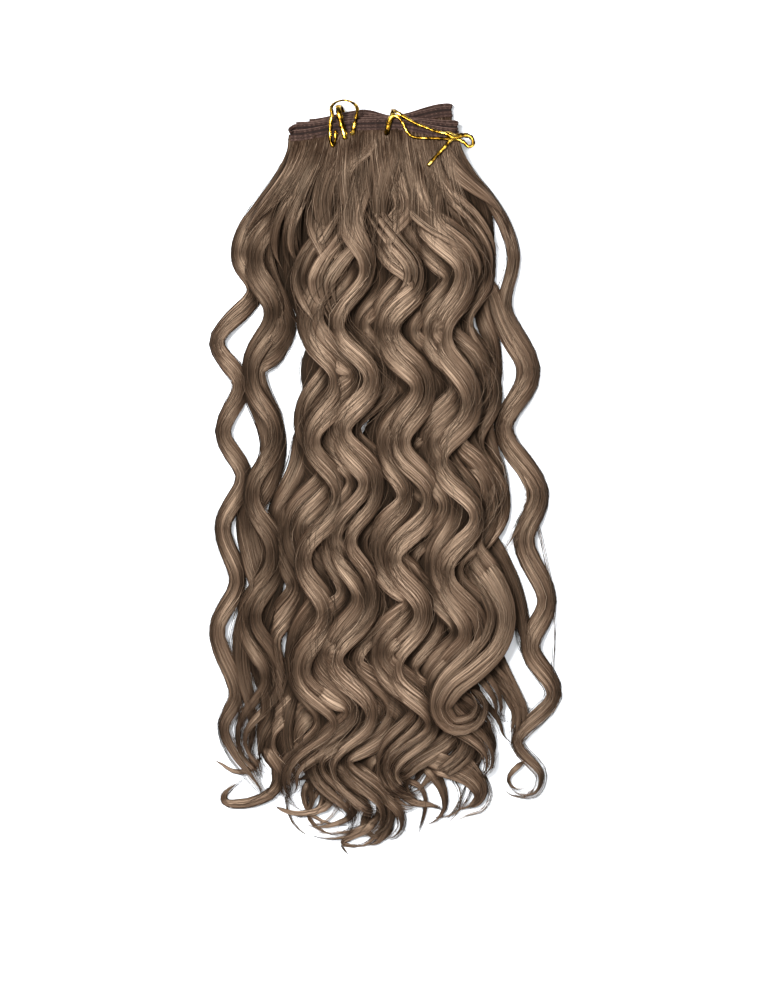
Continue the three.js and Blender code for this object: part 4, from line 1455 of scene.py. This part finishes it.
def addThreads(batch):
    way = wayAlong(bandLine)
    count = int(way[-1] / stitch["step"])
    place = (np.arange(count) + 0.5) * stitch["step"]
    centre, along, face, tall = (
        np.stack([np.interp(place, way, values[:, i]) for i in range(3)], axis=1)
        for values in (bandLine, *bandFrames()))
    outward = face * np.where(face[:, 2:] >= 0, 1, -1)
    second = np.arange(count) % 2        # every second one leans the other way and is lighter
    lean = stitch["lean"] * np.where(second, 1, -1)[:, None]
    angle = around(stitch["sides"])[None, None, :, None]
    ring = tall[:, None, None] * np.cos(angle) - face[:, None, None] * np.sin(angle)
    radius = stitch["radius"] * np.array(stitch["girth"])[None, :, None, None]
    for row in stitch["rows"]:
        middle = np.stack([
            centre + along * stitch["length"] * a + tall * (row + lean * a)
            + outward * (band["thickness"] * stitch["seat"] + stitch["radius"] * out)
            for a, out in stitch["bow"]], axis=1)
        tone = np.array(stitch["tones"])[second][:, None, None]
        tone = tone + rng.normal(0, stitch["toneSpread"], (count, 1, 1))
        addTubes(batch, middle[:, :, None] + radius * ring, np.clip(tone, 0, 1))


batch = newBatch()
addBand(batch)
addThreads(batch)
total += placePiece("weft_band_strip", batch, sewnBand, "weft_band")


# the twist ties: crinkled foil over a wire, stations as across, drop, height, tip of the face, width
tie = {
    "thickness": 0.5,
    "wire": 0.75,
    "perSpan": 8,
    "crinkle": 0.14,
    "twist": 16.0,
    "twistStep": 2.2,
    "twistSpare": 3.0,
    "overHair": 0.6,
    "wide": 1.2,
    "pinch": 0.18,
    "shoulder": 0.45,     # where the foil comes off the wire
    "shoulderRise": 0.8,
    "floorGap": 0.2,
    "tone": 0.5,
}
leftTie = [
    (-35.2, 0, 17.4, 0, 1.8), (-35.4, 7, 17.7, 0, 1.8), (-37, 11.5, 18, 0, 1.8), (-38.8, 7, 17.7, 0, 1.8),
    (-38.8, -4, 17.3, 0, 2), (-37.6, -11, 17.2, 10, 2.4), (-38.2, -15.5, 16.4, 45, 2.2),
    (-35.5, -19.5, 13.9, 70, 2), (-29, -21.5, 12.4, 80, 2), (-22.5, -19, 13.9, 70, 2),
    (-20, -14.5, 16.6, 30, 2), (-21, -8, 17.2, 0, 2), (-22.6, -1, 17.2, 0, 2.2),
    (-23.6, 4, 15.4, -60, 2.4), (-24, 5, 8.9, -90, 2.4), (-24.6, 4, 2.8, -120, 2.4),
    (-25.6, 0.6, 1, -175, 2.4), (-28, -8, 0.95, -180, 2.4), (-30.4, -14.8, 1.1, -185, 2.4),
    (-31.8, -17.8, 4, -245, 2.4), (-32.4, -18.2, 7.4, -270, 2.6), (-33.4, -17, 14.9, -300, 3),
    (-33, -12.5, 17.3, -355, 3.2), (-31.4, -6, 17.3, -360, 3.4), (-29.4, 1, 17.3, -360, 3.2),
    (-28.6, 6.5, 17.5, -360, 2.6),
]
rightTie = [
    (29, 25.5, 19.3, 0, 2.2), (37, 16.5, 19, 0, 2), (44.5, 8, 19, 0, 2), (47.4, 4.6, 18.6, 0, 2),
    (45, 2.8, 17.8, 0, 2), (40, 2.4, 17.3, 0, 1.8), (31, -0.4, 17.2, 0, 1.8), (20, -4.8, 17.2, 0, 1.8),
    (11.5, -9.6, 17.2, 0, 2), (7, -13, 16.2, 40, 2.2), (5.4, -15.6, 10.4, 90, 2.4),
    (4.8, -15.8, 4, 110, 2.4), (4.3, -13.8, 1.15, 170, 2.4), (3, -7, 0.95, 180, 2.4),
    (1.4, 0.4, 1, 185, 2.4), (0.5, 4.2, 2.8, 240, 2.4), (0.2, 5, 9.4, 270, 2.6), (0.4, 4, 15.4, 310, 2.8),
    (1, 0, 17.2, 355, 3), (2.6, -6, 17.2, 360, 3.2), (5, -9.8, 17.3, 360, 2.4),
    (8.6, -8.4, 17.3, 360, 1.8), (11.8, -4.6, 17.2, 360, 1.8), (14.2, 0.6, 17.2, 360, 1.8),
    (18, 4.6, 17.2, 360, 1.8), (25, 5.8, 17.2, 360, 1.8), (34, 6, 17.3, 360, 1.8),
    (42, 6.4, 17.3, 360, 2), (49, 6.4, 17.3, 360, 2.2), (54, 8.6, 17.2, 360, 2.2),
    (57.6, 11.6, 17, 360, 2.2), (60.4, 10.6, 16.8, 360, 2.2), (60.8, 7.8, 16.8, 360, 2.2),
    (59, 5, 17.2, 360, 2.6), (55.5, 4, 17.8, 360, 3), (51, 4.6, 18.6, 360, 3.2), (47, 5.4, 19, 360, 2.8),
    (43.5, 3.8, 19, 360, 2.4), (41.4, 2.2, 18.6, 360, 2.2),
]


def addTie(batch, rows):
    rows = np.array(rows, float)
    rows[:, 1] = band["lineY"] - rows[:, 1]
    rows[:, 2] += tie["overHair"] * (rows[:, 2] > layerZ(frontLayer))
    line = throughPoints(rows[:, :3], tie["perSpan"])
    share = np.linspace(0, len(rows) - 1, len(line))
    tip, width = (np.interp(share, np.arange(len(rows)), rows[:, column]) for column in (3, 4))
    way = wayAlong(line)
    knots = np.arange(0, way[-1] + tie["twistSpare"], tie["twistStep"])
    wobble = np.interp(way, knots, rng.uniform(-1, 1, len(knots)))
    tip = np.radians(tip + tie["twist"] * wobble)
    along = unit(np.gradient(line, axis=0))
    face = np.stack([np.zeros(len(tip)), np.sin(tip), np.cos(tip)], axis=1)
    across = unit(np.cross(face, along))
    up = np.cross(along, across)
    half, thin, wire = tie["wide"] * width / 2, tie["thickness"] / 2, tie["wire"]
    lift = rng.uniform(-1, 1, (4, len(line))) * tie["crinkle"]
    edge = half * (1 + tie["pinch"] * rng.uniform(-1, 1, len(line)))
    shoulder, rise = half * tie["shoulder"], wire * tie["shoulderRise"]
    corners = [
        (edge, thin + lift[0]), (shoulder, rise), (0, wire), (-shoulder, rise),
        (-edge, thin + lift[1]), (-edge, -thin + lift[1]), (0, -wire), (edge, -thin + lift[0]),
    ]
    ones = np.ones(len(line))
    rings = [line + across * (ones * a)[:, None] + up * (ones * b)[:, None] for a, b in corners]
    rings = np.stack(rings, axis=1)
    rings[..., 2] = np.maximum(rings[..., 2], tie["floorGap"])
    addTubes(batch, rings[None], tie["tone"])


for name, rows, node in (
    ("twist_tie_left_foil", leftTie, "twist_tie_left"),
    ("twist_tie_right_foil", rightTie, "twist_tie_right"),
):
    batch = newBatch()
    addTie(batch, rows)
    total += placePiece(name, batch, goldFoil, node)
print("triangles in all:", total)


# floor, light and camera
studio = {
    "centreX": -1.05,     # what the middle of the picture looks at, in the table's millimetres
    "centreY": -11.65,
    "planeZ": 12.0,
    "viewHeight": 686.7,
    "distance": 1620.0,
    "sensor": 36,
    "floorSize": 6,
    "floorColour": (0.62, 0.635, 0.655, 1),
    "floorRoughness": 0.85,
    "floorSpecular": 0.1,
    "airColour": (0.95, 0.97, 1.0, 1),
    "airStrength": 0.2,
}
lampColumns = ("name", "place", "size", "power")
lamps = named(lampColumns, [    # metres and watts
    ("keyBox", (-0.48, 0.32, 1.48), 0.45, 74),
    ("fillBox", (0.7, -0.3, 1.3), 0.8, 8),
    ("topBox", (0.1, 0.1, 2.2), 0.6, 26),
])


def makeFloor():
    material, tree, shader = newMaterial("paleFloor")
    feed(tree, shader, {
        "Base Color": studio["floorColour"],
        "Roughness": studio["floorRoughness"],
        "Specular IOR Level": studio["floorSpecular"],
    })
    bpy.ops.mesh.primitive_plane_add(size=studio["floorSize"], location=(0, 0, 0))
    floor = bpy.context.object
    floor.name = "studio_floor"
    floor.data.materials.append(material)


def softBox(row):
    data = bpy.data.lights.new(row["name"], "AREA")
    data.shape = "SQUARE"
    data.size = row["size"]
    data.energy = row["power"]
    lamp = bpy.data.objects.new(row["name"], data)
    scene.collection.objects.link(lamp)
    lamp.location = row["place"]
    lamp.rotation_euler = (-Vector(row["place"])).to_track_quat("-Z", "Y").to_euler()


def makeAir():
    world = bpy.data.worlds.new("studioAir")
    scene.world = world
    world.use_nodes = True
    background = world.node_tree.nodes["Background"]
    feed(world.node_tree, background, {"Color": studio["airColour"], "Strength": studio["airStrength"]})


def makeCamera():
    data = bpy.data.cameras.new("photoView")
    data.sensor_fit = "VERTICAL"
    data.sensor_height = studio["sensor"]
    data.lens = studio["sensor"] / 2 / (studio["viewHeight"] / 2 / studio["distance"])
    camera = bpy.data.objects.new("photoView", data)
    scene.collection.objects.link(camera)
    place = np.array([studio["centreX"], studio["centreY"], studio["planeZ"] + studio["distance"]]) + shift
    camera.location = Vector(place * mm)
    scene.camera = camera


makeFloor()
for row in lamps:
    softBox(row)
makeAir()
scene.view_settings.view_transform = "Standard"
makeCamera()
print("studio set")
